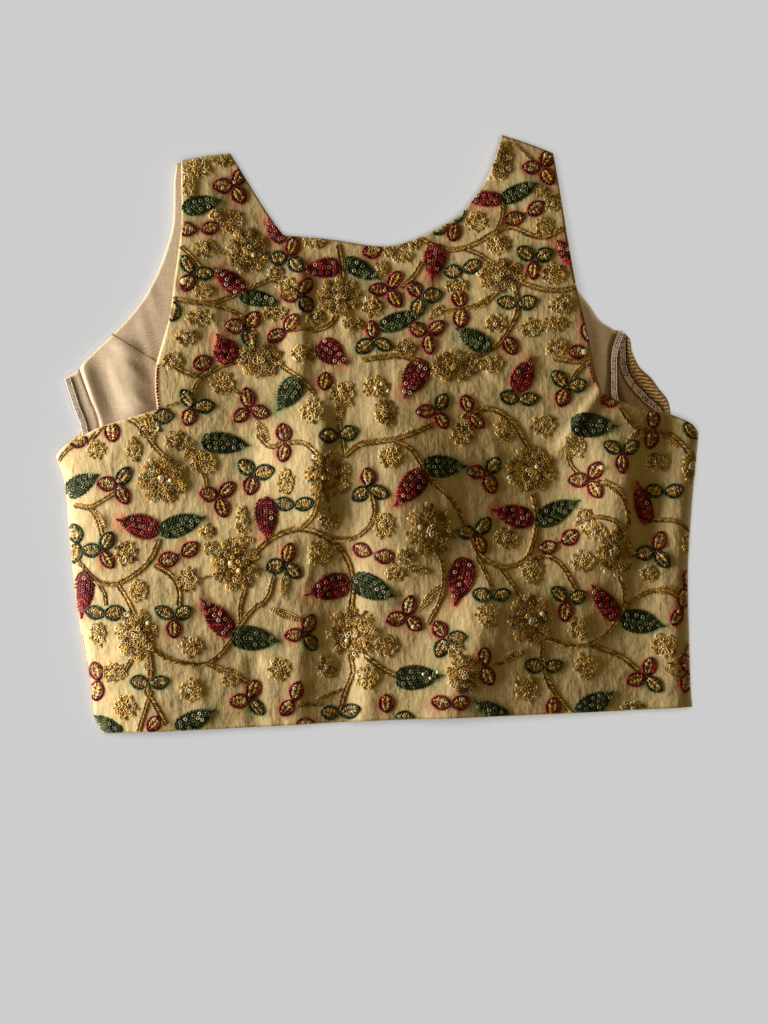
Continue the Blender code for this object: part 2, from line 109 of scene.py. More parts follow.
# Broad rises and hollows of the front. Columns: x, y, reach left, right, down and up, and rise
HOLLOWS = [
    (110, 150, 90, 48, 68, 72, -6.6), (-91, 180, 66, 24, 42, 40, -4.6), (-8, 296, 112, 112, 62, 62, -2.8),
    (146, 48, 76, 44, 46, 40, -2.4), (-204, 203, 30, 34, 26, 26, -3), (194, 197, 40, 34, 26, 26, -2.6),
    (-12, 168, 60, 56, 70, 60, 1.6),
]

# Broad rises that only show in the light. Columns: column, row, reach left, right, down and up, and rise
SWELLS = [
    (392, 490, 190, 98, 150, 130, 4), (622, 495, 40, 24, 60, 50, 2.2), (215, 385, 20, 50, 25, 25, -1.5),
]

# Folds of the front. Columns: start x, y, end x, y, width left and right of the line, and rise
FOLDS = [
    (-28, 138, -46, -20, 42, 32, -3.2), (64, 92, 22, -20, 34, 40, 3.4), (-51, 322, -54, 214, 16, 9, 1.9),
    (-39, 226, -48, 122, 33, 12, 3.8), (110, 168, 160, 234, 4.5, 8, 2), (-60, 88, -68, -20, 12, 14, 1.8),
    (-92, 62, -94, -20, 10, 10, -1.3), (-15, 84, -24, -20, 12, 13, 1.3),
]

# Drapes of the front. Columns: start column, row, end column, row, width left and right, and rise
DRAPES = [
    (680, 400, 646, 560, 30, 24, -3.4), (656, 520, 636, 740, 46, 34, -3.4), (500, 560, 448, 760, 26, 62, 3.3),
    (352, 470, 345, 760, 22, 18, -1.8), (180, 130, 170, 440, 60, 66, 3.4), (566, 130, 574, 350, 92, 30, 4.1),
    (378, 375, 386, 445, 17, 8, 1.7), (168, 570, 160, 780, 50, 62, 2.6), (400, 360, 404, 600, 20, 40, 1.6),
]

# Small creases of the front, with the columns of the folds
CREASES = [
    (-196, 160, -182, 118, 7, 4, 0.7), (-150, 198, -128, 150, 8, 5, 0.8), (-178, 96, -158, 42, 6, 9, 0.6),
    (-128, 118, -116, 62, 5, 8, -0.6), (-136, 52, -124, -10, 8, 6, 0.6), (-112, 296, -104, 236, 6, 8, 0.8),
    (-84, 300, -88, 246, 5, 4, -0.6), (-26, 300, -14, 238, 9, 5, 0.7), (6, 250, -2, 196, 6, 9, -0.6),
    (38, 312, 30, 262, 7, 5, 0.6), (72, 346, 92, 296, 8, 6, 0.7), (58, 246, 94, 214, 6, 6, 0.8),
    (66, 196, 92, 142, 7, 5, 0.7), (108, 128, 100, 84, 9, 5, -0.6), (34, 178, 46, 118, 5, 7, 0.6),
    (2, 122, 10, 62, 8, 6, -0.6), (-48, 126, -60, 84, 4, 6, 0.8), (92, 58, 76, 4, 9, 6, 0.7),
    (124, 84, 132, 30, 6, 8, 0.7), (172, 176, 166, 116, 7, 9, -0.8), (186, 126, 182, 62, 6, 5, 0.6),
    (160, 104, 152, 62, 5, 6, 0.6), (-110, 372, -102, 330, 6, 8, 0.5), (104, 374, 106, 330, 8, 6, 0.5),
]

# Low uneven ripples of the front. Columns: rise, seed, and shortest and longest wave
RIPPLES = [(0.30, 5, 22, 46), (0.12, 8, 8, 16)]

# Folds of the lining in the armholes, with the columns of the folds
LINING_FOLDS = [
    (-204, 262, -189, 196, 5, 9, 2.4), (-176, 272, -160, 196, 16, 15, 2.4), (-186, 268, -150, 246, 6, 7, 1.1),
    (149, 270, 147, 214, 6, 5, 1.4),
]

# Small creases of the lining, with the same columns
LINING_CREASES = [
    (-190, 268, -168, 212, 3, 4, 0.7), (-180, 262, -152, 226, 3, 3, 0.6), (-162, 292, -150, 236, 4, 4, 0.8),
    (-194, 242, -182, 200, 3, 4, 0.6), (-174, 234, -150, 212, 3, 3, 0.5), (-158, 318, -146, 270, 3, 4, 0.6),
    (154, 254, 150, 208, 2.5, 3, 0.7), (140, 294, 146, 246, 3, 3, 0.7),
]

# Red stitches on the front's armhole edges. Columns: edge, millimetres inwards, and from and to which y
EDGE_DASHES = [(LEFT_ARMHOLE, 1.2, 217, 246), (RIGHT_ARMHOLE, -1.4, 252, 268), (RIGHT_ARMHOLE, -3, 222, 233)]

# Size of the buds, and how far each lies from the middle of its pair or three
BUD_LENGTH = 12.2
BUD_WIDTH = 9.2
PAIR_APART = 6.6
STEM_APART = 8.0
THREE_APART = 7.3

# Distance between stitches along each kind of work, and the width of an overlocked edge
LEAF_STEP = 1.25
GRAIN_STEP = 0.92
VINE_STEP = 0.82
SPRIG_STEP = 1.7
DASH_STEP = 2.1
SERGING_STEP = 1.25
SERGING_WIDTH = 3.6

# How finely the visual cloth is divided: cells, rows, and the lining's cells in millimetres
UNDERARM_CELLS = 38
STRAP_CELLS = 40
NECK_CELLS = 60
BODY_ROWS = 114
CHEST_ROWS = 56
STRAP_ROWS = 34
LINING_STEP = 3.0


def cloth_point(column, row):
    """Millimetres on the cloth of a place in the chart."""
    right = (np.asarray(column, float) - CHART_ZERO[0]) * CHART_CELL
    up = (CHART_ZERO[1] - np.asarray(row, float)) * CHART_CELL
    x = right * math.cos(CHART_TURN) + up * math.sin(CHART_TURN)
    y = up * math.cos(CHART_TURN) - right * math.sin(CHART_TURN)
    return np.stack([x, y], axis=-1)


def smooth_curve(points, steps=14):
    """Close points on a smooth curve through the given ones."""
    known = np.array(points, float)
    ends = np.vstack([2 * known[0] - known[1], known, 2 * known[-1] - known[-2]])
    t = np.linspace(0, 1, steps, endpoint=False)[:, None]
    pieces = []
    for a, b, c, d in zip(ends, ends[1:], ends[2:], ends[3:]):
        bend = 2 * a - 5 * b + 4 * c - d
        twist = 3 * b - a - 3 * c + d
        pieces.append(0.5 * (2 * b + (c - a) * t + bend * t**2 + twist * t**3))
    return np.vstack(pieces + [known[-1:]])


def along(points, shares):
    """Points at the given shares of the length of a smooth curve."""
    curve = smooth_curve(points)
    length = np.concatenate([[0], np.cumsum(np.linalg.norm(np.diff(curve, axis=0), axis=1))])
    at = np.asarray(shares) * length[-1]
    return np.stack([np.interp(at, length, curve[:, k]) for k in (0, 1)], axis=1)


def curve_length(points):
    return np.linalg.norm(np.diff(smooth_curve(points), axis=0), axis=1).sum()


def curve_x(points, y):
    """X where a curve that climbs or falls crosses the height y."""
    curve = smooth_curve(points)
    curve = curve[np.argsort(curve[:, 1])]
    return np.interp(y, curve[:, 1], curve[:, 0])


def even(cells):
    return np.linspace(0, 1, cells + 1)


def headings(path):
    """A path's direction at each of its points, and the way to its left."""
    way = np.gradient(path, axis=0)
    turn = np.arctan2(way[:, 1], way[:, 0])
    return turn, np.column_stack([-np.sin(turn), np.cos(turn)])


def patch(bottom, top, left, right, u, v):
    """A grid between two rows of points at the shares u across and two curves at the shares v upwards."""
    left, right = along(left, v)[:, None], along(right, v)[:, None]
    u, v = u[None, :, None], v[:, None, None]
    ends = (1 - v) * bottom[None] + v * top[None]
    low = (1 - u) * bottom[0] + u * bottom[-1]
    high = (1 - u) * top[0] + u * top[-1]
    return (1 - u) * left + u * right + ends - (1 - v) * low - v * high


def shares_of(row):
    """How far across each point of a row lies, from 0 to 1."""
    return (row[:, 0] - row[0, 0]) / (row[-1, 0] - row[0, 0])


def front_grids():
    """The front in four patches that share their edges: body, chest and two straps."""
    near_side = even(UNDERARM_CELLS) ** 1.35
    straps, strap_rows = even(STRAP_CELLS), even(STRAP_ROWS)
    chest = np.concatenate([along(LEFT_STRAP_BASE, straps), along(NECK_FRONT, even(NECK_CELLS))[1:],
                            along(RIGHT_STRAP_BASE, straps)[1:]])
    across = shares_of(chest)
    chest_line = along([LEFT_ARMHOLE[0], RIGHT_ARMHOLE[0]], across)
    top = np.concatenate([along(LEFT_UNDERARM, near_side), chest_line[1:-1],
                          along(RIGHT_UNDERARM, 1 - near_side[::-1])])
    spread = shares_of(top)
    grids = [patch(along(HEM, spread), top, LEFT_SIDE, RIGHT_SIDE, spread, even(BODY_ROWS)),
             patch(chest_line, chest, LEFT_ARMHOLE, RIGHT_ARMHOLE, across, even(CHEST_ROWS))]
    for base, shoulder, left, right in ((LEFT_STRAP_BASE, LEFT_SHOULDER, LEFT_STRAP_OUT, LEFT_STRAP_IN),
                                        (RIGHT_STRAP_BASE, RIGHT_SHOULDER, RIGHT_STRAP_IN, RIGHT_STRAP_OUT)):
        grids.append(patch(along(base, straps), along(shoulder, straps), left, right, straps, strap_rows))
    return grids


def ease(share):
    """0 to 1 with level ends."""
    share = np.clip(share, 0, 1)
    return share * share * (3 - 2 * share)


def hollow(x, y, row):
    """One broad rise or hollow, with its own reach on each side."""
    centre_x, centre_y, left, right, down, up, rise = row
    across = (x - centre_x) / np.where(x < centre_x, left, right)
    upwards = (y - centre_y) / np.where(y < centre_y, down, up)
    return rise * ease(1 - np.sqrt(across**2 + upwards**2))


def fold(x, y, row):
    """One fold along a line, which fades out over its ends."""
    start_x, start_y, end_x, end_y, left, right, rise = row
    length = np.hypot(end_x - start_x, end_y - start_y)
    along_x, along_y = (end_x - start_x) / length, (end_y - start_y) / length
    reached = (x - start_x) * along_x + (y - start_y) * along_y
    aside = (x - start_x) * along_y - (y - start_y) * along_x
    aside = aside if along_y > 0 else -aside
    end = min(24.0, 0.4 * length)
    fade = ease(reached / end) * ease((length - reached) / end)
    return rise * fade * ease(1 - np.abs(aside) / np.where(aside < 0, left, right))


def rolled(distance, reach):
    """Height share of cloth that rolls up from its seam, as a quarter of an ellipse."""
    share = np.clip(distance / reach, 0, 1)
    return np.sqrt(np.clip(1 - (1 - share) ** 2, 0, 1))


def ripple(x, y, seed, shortest, longest, count=9):
    """Soft uneven waves between -1 and 1, always the same for one seed."""
    dice = np.random.default_rng(seed)
    total = 0.0 * x
    for _ in range(count):
        turn = dice.uniform(0, math.tau)
        wave = math.tau / dice.uniform(shortest, longest)
        total = total + np.cos(wave * (x * math.cos(turn) + y * math.sin(turn)) + dice.uniform(0, math.tau))
    return total / math.sqrt(count) / 1.6


def front_height(x, y):
    """Height of the front's outer face over the surface, with its small creases."""
    level = np.minimum(y, SIDE_TOP)
    roll = rolled(x - curve_x(LEFT_SIDE, level), LEFT_ROLL)
    roll = roll * rolled(curve_x(RIGHT_SIDE, level) - x, RIGHT_ROLL)
    lift = BODY_HEIGHT + (SHOULDER_HEIGHT - BODY_HEIGHT) * ease((y - TAPER_START) / TAPER_LENGTH) - LAYER_ONE
    for row in HOLLOWS:
        lift = lift + hollow(x, y, row)
    for column, down, *reaches in SWELLS:
        lift = lift + hollow(x, y, (*cloth_point(column, down), *reaches))
    for row in FOLDS + CREASES:
        lift = lift + fold(x, y, row)
    for column, down, last_column, last_down, *rest in DRAPES:
        lift = lift + fold(x, y, (*cloth_point(column, down), *cloth_point(last_column, last_down), *rest))
    for rise, *waves in RIPPLES:
        lift = lift + rise * ripple(x, y, *waves)
    lift = lift * (HEM_SHARE + (1 - HEM_SHARE) * ease(y / HEM_REACH))
    lowest = FRONT_LOWEST - LAYER_ONE
    spare = lift - lowest
    return LAYER_ONE + roll * (lowest + 0.5 * (spare + np.sqrt(spare**2 + SETTLING**2)))


def lining_height(x, y):
    """Height of the lining's outer face over the surface, in millimetres."""
    lift = sum(fold(x, y, row) for row in LINING_FOLDS + LINING_CREASES)
    return LAYER_ONE + LINING + np.maximum(lift, 0.0)


def two_faces(height, thickness, plan):
    """Outer and inner points of a wall of even thickness under a height over plan points."""
    x, y = plan[:, 0], plan[:, 1]
    near = 0.05
    slope_x = (height(x + near, y) - height(x - near, y)) / (2 * near)
    slope_y = (height(x, y + near) - height(x, y - near)) / (2 * near)
    normal = np.stack([-slope_x, -slope_y, np.ones_like(x)], axis=1)
    outer = np.column_stack([x, y, height(x, y)])
    inner = outer - thickness * normal / np.linalg.norm(normal, axis=1)[:, None]
    inner[:, 2] = np.maximum(inner[:, 2], LAYER_ONE)
    return outer, inner


def outline_middle():
    """The middle of the whole outline, which is X = Y = 0 in the row frame."""
    edges = [LEFT_SIDE, RIGHT_SIDE, RIGHT_SHOULDER, HEM, BACK_LEFT_ARMHOLE, LEFT_UNDERARM]
    points = np.vstack([smooth_curve(edge) for edge in edges])
    return (points.min(axis=0) + points.max(axis=0)) / 2


MIDDLE = np.append(outline_middle(), 0.0)


def mesh_piece(name, points, faces, material, tints=None, smooth=True):
    """A piece of the object from points in millimetres and lists of corners."""
    mesh = bpy.data.meshes.new(name)
    mesh.from_pydata(((points - MIDDLE) * MM).tolist(), [], faces, shade_flat=not smooth)
    mesh.validate()
    if tints is not None:
        layer = mesh.color_attributes.new("tint", "FLOAT_COLOR", "POINT")
        layer.data.foreach_set("color", np.column_stack([tints, np.ones(len(tints))]).reshape(-1))
    mesh.materials.append(material)
    piece = bpy.data.objects.new(name, mesh)
    bpy.context.scene.collection.objects.link(piece)
    return piece


def grid_keys(points):
    """Keys that are the same for plan points that coincide."""
    return list(map(tuple, np.round(np.asarray(points).reshape(-1, 2) * 50).astype(int).tolist()))


def shell(grids, faces_of):
    """Points and faces of one closed wall over grids of plan points that share their edges."""
    index, plan, quads = {}, [], []
    for grid in grids:
        for key, point in zip(grid_keys(grid), grid.reshape(-1, 2)):
            if key not in index:
                index[key] = len(plan)
                plan.append(point)
        ids = np.array([index[key] for key in grid_keys(grid)]).reshape(grid.shape[:2])
        corners = np.stack([ids[:-1, :-1], ids[:-1, 1:], ids[1:, 1:], ids[1:, :-1]], axis=-1)
        quads.append(corners.reshape(-1, 4))
    quads = np.vstack(quads)
    count = len(plan)
    starts, ends = quads.reshape(-1), np.roll(quads, -1, axis=1).reshape(-1)
    open_edge = ~np.isin(starts * count + ends, ends * count + starts)
    a, b = starts[open_edge], ends[open_edge]
    rim = np.column_stack([b, a, a + count, b + count])
    faces = np.vstack([quads, quads[:, ::-1] + count, rim])
    return np.vstack(faces_of(np.array(plan))), faces.tolist(), count


class Graph:
    """A material's node tree. Each input of a node is a socket to link or a value to set."""

    def __init__(self, name):
        self.material = bpy.data.materials.new(name)
        self.material.use_nodes = True
        self.tree = self.material.node_tree
        self.place = self.node("TexCoord").outputs["Object"]

    def fill(self, made, inputs):
        for key, value in inputs.items():
            if hasattr(value, "is_output"):
                self.tree.links.new(value, made.inputs[key])
            else:
                made.inputs[key].default_value = value
        return made

    def node(self, kind, inputs=(), **settings):
        made = self.tree.nodes.new("ShaderNode" + kind)
        for key, value in settings.items():
            setattr(made, key, value)
        return self.fill(made, dict(inputs))

    def noise(self, scales, detail=3.0, roughness=0.5, degrees=0.0):
        """Noise whose grains per metre along x, y and z are given, turned about Z."""
        turn = (0.0, 0.0, math.radians(degrees))
        place = self.node("Mapping", {"Vector": self.place, "Scale": scales, "Rotation": turn})
        inputs = {"Vector": place.outputs[0], "Scale": 1.0, "Detail": detail, "Roughness": roughness}
        return self.node("TexNoise", inputs).outputs["Fac"]

    def ramp(self, factor, low, high):
        """Stretches the values between low and high to 0 and 1."""
        inputs = {"Value": factor, "From Min": low, "From Max": high}
        return self.node("MapRange", inputs, clamp=True).outputs["Result"]

    def math(self, operation, a, b=0.0):
        return self.node("Math", {0: a, 1: b}, operation=operation).outputs["Value"]

    def plus(self, a, b):
        return self.math("ADD", a, b)

    def times(self, a, b):
        return self.math("MULTIPLY", a, b)

    def mix(self, factor, a, b, blend="MIX"):
        a, b = (value if hasattr(value, "is_output") else (*value, 1.0) for value in (a, b))
        return self.node("Mix", {0: factor, 6: a, 7: b}, data_type="RGBA", blend_type=blend).outputs[2]

    def tinted(self, colour):
        """A colour times each point's own tint."""
        tint = self.node("VertexColor", layer_name="tint").outputs["Color"]
        return self.mix(1.0, colour, tint, "MULTIPLY")

    def finish(self, colour, bump=None, **fixed):
        """The material with its colour, a bump of height, strength and distance, and fixed inputs."""
        inputs = {"Base Color": colour, **{key.replace("_", " "): value for key, value in fixed.items()}}
        if bump:
            made = self.node("Bump", zip(("Height", "Strength", "Distance"), bump))
            inputs["Normal"] = made.outputs["Normal"]
        self.fill(self.tree.nodes["Principled BSDF"], inputs)
        return self.material


def silk(name, light, deep, tinted=False):
    """Raw silk: fine crinkles, uneven slubs up the cloth, a cross weave and a soft sheen."""
    g = Graph(name)
    slubs = g.noise((1500, 75, 75), 2.0, 0.6, 1.5)
    coarse = g.noise((520, 24, 24), 2.0, 0.5, 2.5)
    weft = g.noise((60, 1500, 60), 2.0)
    cloudy = g.noise((28, 22, 28))
    streak = g.plus(g.times(slubs, 0.55), g.times(coarse, 0.45))
    colour = g.mix(g.ramp(streak, 0.24, 0.66), deep, light)
    colour = g.mix(g.times(g.ramp(weft, 0.45, 0.75), 0.18), colour, deep)
    warmer = (light[0], light[1] * 0.94, light[2] * 0.80)
    colour = g.mix(g.times(g.ramp(cloudy, 0.35, 0.75), 0.20), colour, warmer)
    if tinted:
        colour = g.tinted(colour)
    height = g.times(g.noise((105, 80, 80), 4.0, 0.55, -14.0), 0.85)
    upright, slanting = g.noise((120, 52, 60), 2.0, 0.5, 16.0), g.noise((60, 118, 60), 2.0, 0.5, 40.0)
    for wrinkle, depth in ((upright, -0.75), (slanting, -0.65)):
        crest = g.math("ABSOLUTE", g.math("SUBTRACT", wrinkle, 0.5))
        height = g.plus(height, g.times(crest, depth))
    fine = g.plus(g.times(streak, 0.9), g.times(weft, 0.3))
    height = g.plus(height, g.times(fine, 0.14))
    return g.finish(colour, (height, 0.70, 0.0018), Roughness=0.50, Sheen_Weight=0.10, Sheen_Roughness=0.4,
                    Specular_IOR_Level=0.40)


def lining_cotton(name, light, deep):
    """Plain woven cotton, with faint threads both ways."""
    g = Graph(name)
    weave = g.plus(g.times(g.noise((1500, 160, 160), 2.0), 0.5), g.times(g.noise((160, 1500, 160), 2.0), 0.5))
    colour = g.mix(g.ramp(weave, 0.35, 0.65), deep, light)
    colour = g.mix(g.times(g.ramp(g.noise((40, 34, 40)), 0.4, 0.8), 0.3), colour, deep)
    return g.finish(colour, (weave, 0.3, 0.0004), Roughness=0.62, Sheen_Weight=0.3, Sheen_Roughness=0.5)


def thread(name, roughness, specular):
    """Embroidery thread, coloured by each stitch's own tint, with fine strands along it."""
    g = Graph(name)
    strands = g.noise((2600, 2600, 2600), 2.0, 0.6)
    colour = g.tinted(g.mix(g.ramp(strands, 0.30, 0.72), (0.55, 0.55, 0.55), (1.25, 1.2, 1.1)))
    return g.finish(colour, (strands, 0.4, 0.0003), Roughness=roughness, Specular_IOR_Level=specular)


# Leaves. Columns: column, row, degrees towards the tip, length and width in cells, and r or g
LEAVES = [
    (275, 229, 115, 34, 15, "r"), (229, 281, 140, 42, 19, "r"), (321, 269, 186, 42, 19, "r"),
    (434, 264, 262, 40, 22, "r"), (482, 200, 176, 41, 14, "r"), (564, 253, 128, 32, 14, "r"),
    (333, 355, 322, 38, 25, "r"), (225, 349, 120, 34, 25, "r"), (413, 381, 242, 46, 25, "r"),
    (523, 374, 66, 40, 22, "r"), (409, 489, 228, 50, 24, "r"), (641, 502, 105, 46, 17, "r"),
    (138, 525, 165, 46, 24, "r"), (267, 520, 272, 47, 22, "r"), (511, 515, 165, 46, 22, "r"),
    (459, 582, 256, 52, 26, "r"), (327, 588, 197, 50, 26, "r"), (84, 595, 264, 50, 20, "r"),
    (217, 616, 130, 50, 22, "r"), (603, 601, 128, 48, 19, "r"), (55, 503, 80, 34, 22, "r"),
    (203, 206, 14, 42, 18, "g"), (260, 300, 350, 42, 15, "g"), (362, 271, 332, 43, 17, "g"),
    (519, 193, 26, 42, 15, "g"), (401, 321, 19, 48, 17, "g"), (472, 340, 148, 44, 19, "g"),
    (288, 396, 236, 42, 23, "g"), (593, 426, 357, 50, 24, "g"), (227, 444, 355, 51, 20, "g"),
    (445, 467, 0, 48, 22, "g"), (83, 484, 30, 42, 19, "g"), (184, 524, 19, 50, 21, "g"),
    (557, 511, 28, 50, 21, "g"), (374, 588, 338, 52, 24, "g"), (257, 638, 354, 52, 24, "g"),
    (642, 622, 350, 47, 23, "g"), (419, 676, 4, 50, 24, "g"), (197, 718, 26, 46, 19, "g"),
    (595, 702, 32, 48, 23, "g"), (108, 726, 142, 42, 17, "g"), (491, 710, 150, 46, 17, "g"),
]

# Bud clusters. Columns: column, row, degrees of the first bud, and one letter a bud, with - for a stem
BUDS = [
    (234, 187, 180, "rrr"), (199, 230, 3, "r-r"), (194, 275, 0, "ggr"), (301, 296, 60, "rrg"),
    (284, 330, 40, "rr"), (246, 329, 50, "rrg"), (204, 364, 20, "r"), (289, 257, 70, "rgg"),
    (195, 408, 5, "ggr"), (250, 409, 100, "rrr"), (325, 382, 80, "r"), (373, 341, 95, "rgg"),
    (389, 290, 180, "rrr"), (421, 298, 130, "rgg"), (459, 309, 95, "rr"), (462, 270, 15, "gg"),
    (453, 233, 80, "r"), (456, 215, 35, "g"), (440, 228, 40, "g"), (427, 335, 155, "rrr"),
    (541, 169, 180, "rrr"), (524, 215, 25, "r-r"), (533, 261, 25, "ggr"), (516, 304, 0, "gg"),
    (509, 347, 300, "r"), (576, 353, 0, "r"), (565, 388, 250, "rgg"), (518, 399, 355, "gg"),
    (436, 412, 60, "grr"), (471, 413, 300, "rr"), (608, 401, 0, "r"), (651, 429, 85, "rr"),
    (690, 431, 310, "g"), (620, 453, 150, "grg"), (588, 480, 180, "rrr"), (663, 491, 0, "gg"),
    (486, 474, 50, "grr"), (476, 534, 50, "ggr"), (558, 542, 25, "r-r"), (654, 551, 70, "rgg"),
    (491, 594, 0, "gg"), (566, 600, 20, "ggr"), (679, 607, 70, "rr"), (485, 665, 280, "rr"),
    (543, 665, 0, "gg"), (645, 676, 75, "rrg"), (685, 672, 90, "rr"), (450, 701, 0, "rr"),
    (552, 706, 85, "r"), (386, 702, 90, "r"), (404, 717, 0, "g"), (340, 711, 5, "gg"), (292, 698, 60, "rr"),
    (306, 724, 0, "r"), (250, 698, 70, "rrg"), (97, 680, 92, "rr"), (151, 681, 0, "gg"), (155, 722, 50, "r"),
    (175, 617, 30, "ggr"), (106, 612, 0, "gg"), (103, 550, 60, "ggr"), (119, 485, 55, "grr"),
    (113, 432, 95, "r"), (79, 441, 0, "r"), (220, 497, 165, "rrr"), (180, 554, 25, "r-r"),
    (254, 475, 15, "ggr"), (284, 443, 90, "rr"), (339, 435, 8, "gg"), (369, 488, 95, "rgg"),
    (295, 504, 0, "gg"), (286, 563, 75, "rgg"), (373, 553, 345, "r-r"), (406, 615, 75, "rrr"),
    (445, 637, 125, "rgg"), (305, 633, 65, "rrg"), (76, 543, 90, "gg"), (688, 577, 60, "r"),
    (174, 313, 80, "g"), (372, 252, 5, "r"), (586, 334, 290, "r"), (165, 417, 0, "g"),
]

# Large flowers of frilled loops. Columns: column, row, width and height in cells
FLOWERS = [
    (248, 252, 41, 45), (339, 298, 43, 37), (261, 361, 44, 34), (500, 277, 46, 33), (453, 367, 48, 30),
    (164, 480, 49, 47), (328, 477, 45, 50), (530, 470, 48, 45), (430, 530, 48, 54), (237, 565, 48, 50),
    (614, 552, 38, 46), (138, 634, 41, 50), (352, 632, 49, 52), (530, 619, 45, 50), (498, 160, 24, 42),
    (691, 467, 18, 30), (463, 673, 32, 38),
]

# Small rosettes. Columns: column, row, width and height in cells, and how pale from 0 to 1
ROSETTES = [
    (207, 250, 24, 18, 0.4), (190, 188, 13, 26, 0.6), (232, 223, 27, 26, 0.3), (217, 216, 14, 12, 0.6),
    (288, 287, 22, 17, 0.6), (276, 273, 15, 13, 0.5), (315, 243, 24, 12, 0.7), (205, 292, 21, 14, 0.3),
    (224, 160, 28, 15, 0.3), (198, 170, 26, 20, 0.4), (200, 319, 28, 17, 0.5), (188, 339, 24, 15, 0.4),
    (174, 362, 20, 17, 0.6), (223, 385, 26, 24, 0.7), (304, 355, 27, 20, 0.4), (275, 314, 26, 14, 0.4),
    (316, 318, 19, 14, 0.5), (353, 325, 22, 13, 0.5), (372, 308, 21, 20, 0.3), (376, 388, 26, 22, 0.6),
    (342, 395, 26, 28, 0.5), (313, 412, 26, 26, 0.6), (476, 223, 22, 20, 0.9), (497, 246, 25, 19, 0.4),
    (543, 230, 19, 23, 0.7), (541, 194, 13, 11, 0.8), (552, 206, 16, 14, 0.4), (552, 276, 27, 22, 0.5),
    (410, 244, 24, 13, 0.4), (389, 252, 14, 12, 0.8), (382, 269, 12, 14, 0.7), (402, 258, 20, 10, 0.9),
    (456, 287, 23, 16, 0.6), (405, 350, 22, 17, 0.5), (560, 307, 25, 20, 0.5), (495, 325, 24, 18, 0.5),
    (530, 330, 25, 19, 0.5), (553, 326, 28, 14, 0.4), (555, 349, 22, 18, 0.9), (490, 365, 26, 17, 0.6),
    (385, 414, 22, 28, 0.4), (390, 457, 25, 24, 0.5), (286, 482, 17, 27, 0.9), (330, 520, 21, 26, 0.5),
    (383, 525, 22, 27, 0.7), (320, 553, 27, 25, 0.2), (405, 556, 19, 16, 0.5), (97, 450, 19, 19, 1),
    (135, 450, 15, 23, 0.4), (178, 441, 23, 19, 0.5), (205, 463, 27, 24, 0.5), (208, 531, 15, 12, 0.6),
    (213, 548, 17, 12, 0.6), (243, 521, 13, 32, 0.6), (127, 553, 23, 26, 0.5), (150, 428, 24, 29, 0.4),
    (140, 590, 19, 23, 0.9), (188, 579, 23, 23, 0.7), (99, 633, 17, 25, 0.9), (193, 645, 24, 22, 0.3),
    (115, 671, 25, 18, 0.8), (126, 706, 25, 25, 0.8), (192, 689, 24, 24, 0.7), (280, 668, 23, 23, 0.8),
    (327, 666, 21, 22, 0.2), (386, 645, 27, 22, 0.3), (367, 676, 26, 26, 0.5), (395, 573, 19, 16, 0.6),
    (462, 434, 23, 25, 0.3), (505, 431, 21, 27, 0.4), (543, 426, 25, 21, 0.4), (573, 447, 24, 25, 0.5),
    (655, 462, 24, 19, 0.4), (505, 538, 25, 23, 0.5), (583, 515, 15, 12, 0.5), (592, 530, 25, 18, 0.6),
    (582, 561, 27, 21, 0.7), (531, 571, 23, 25, 0.6), (688, 545, 14, 22, 0.4), (487, 615, 24, 26, 0.6),
    (578, 628, 22, 23, 0.4), (585, 665, 25, 27, 0.5), (525, 688, 25, 27, 0.4), (663, 645, 27, 25, 0.5),
    (648, 573, 17, 17, 0.5), (632, 708, 26, 13, 0.4), (453, 645, 18, 22, 0.4), (232, 678, 20, 14, 0.5),
]

# Wheat ears. Columns: column, row, degrees, and length in cells
SPRIGS = [
    (225, 670, 345, 34), (428, 598, 50, 34), (285, 584, 80, 30), (284, 613, 340, 36), (416, 569, 350, 30),
    (508, 656, 20, 36), (660, 590, 5, 34), (672, 671, 340, 24), (435, 314, 40, 22), (482, 304, 35, 26),
    (612, 488, 320, 30), (150, 665, 95, 22), (240, 540, 0, 32), (340, 412, 100, 26), (262, 430, 300, 26),
    (118, 676, 20, 24), (632, 438, 40, 26), (100, 518, 300, 24), (668, 440, 320, 22), (190, 452, 60, 24),
]

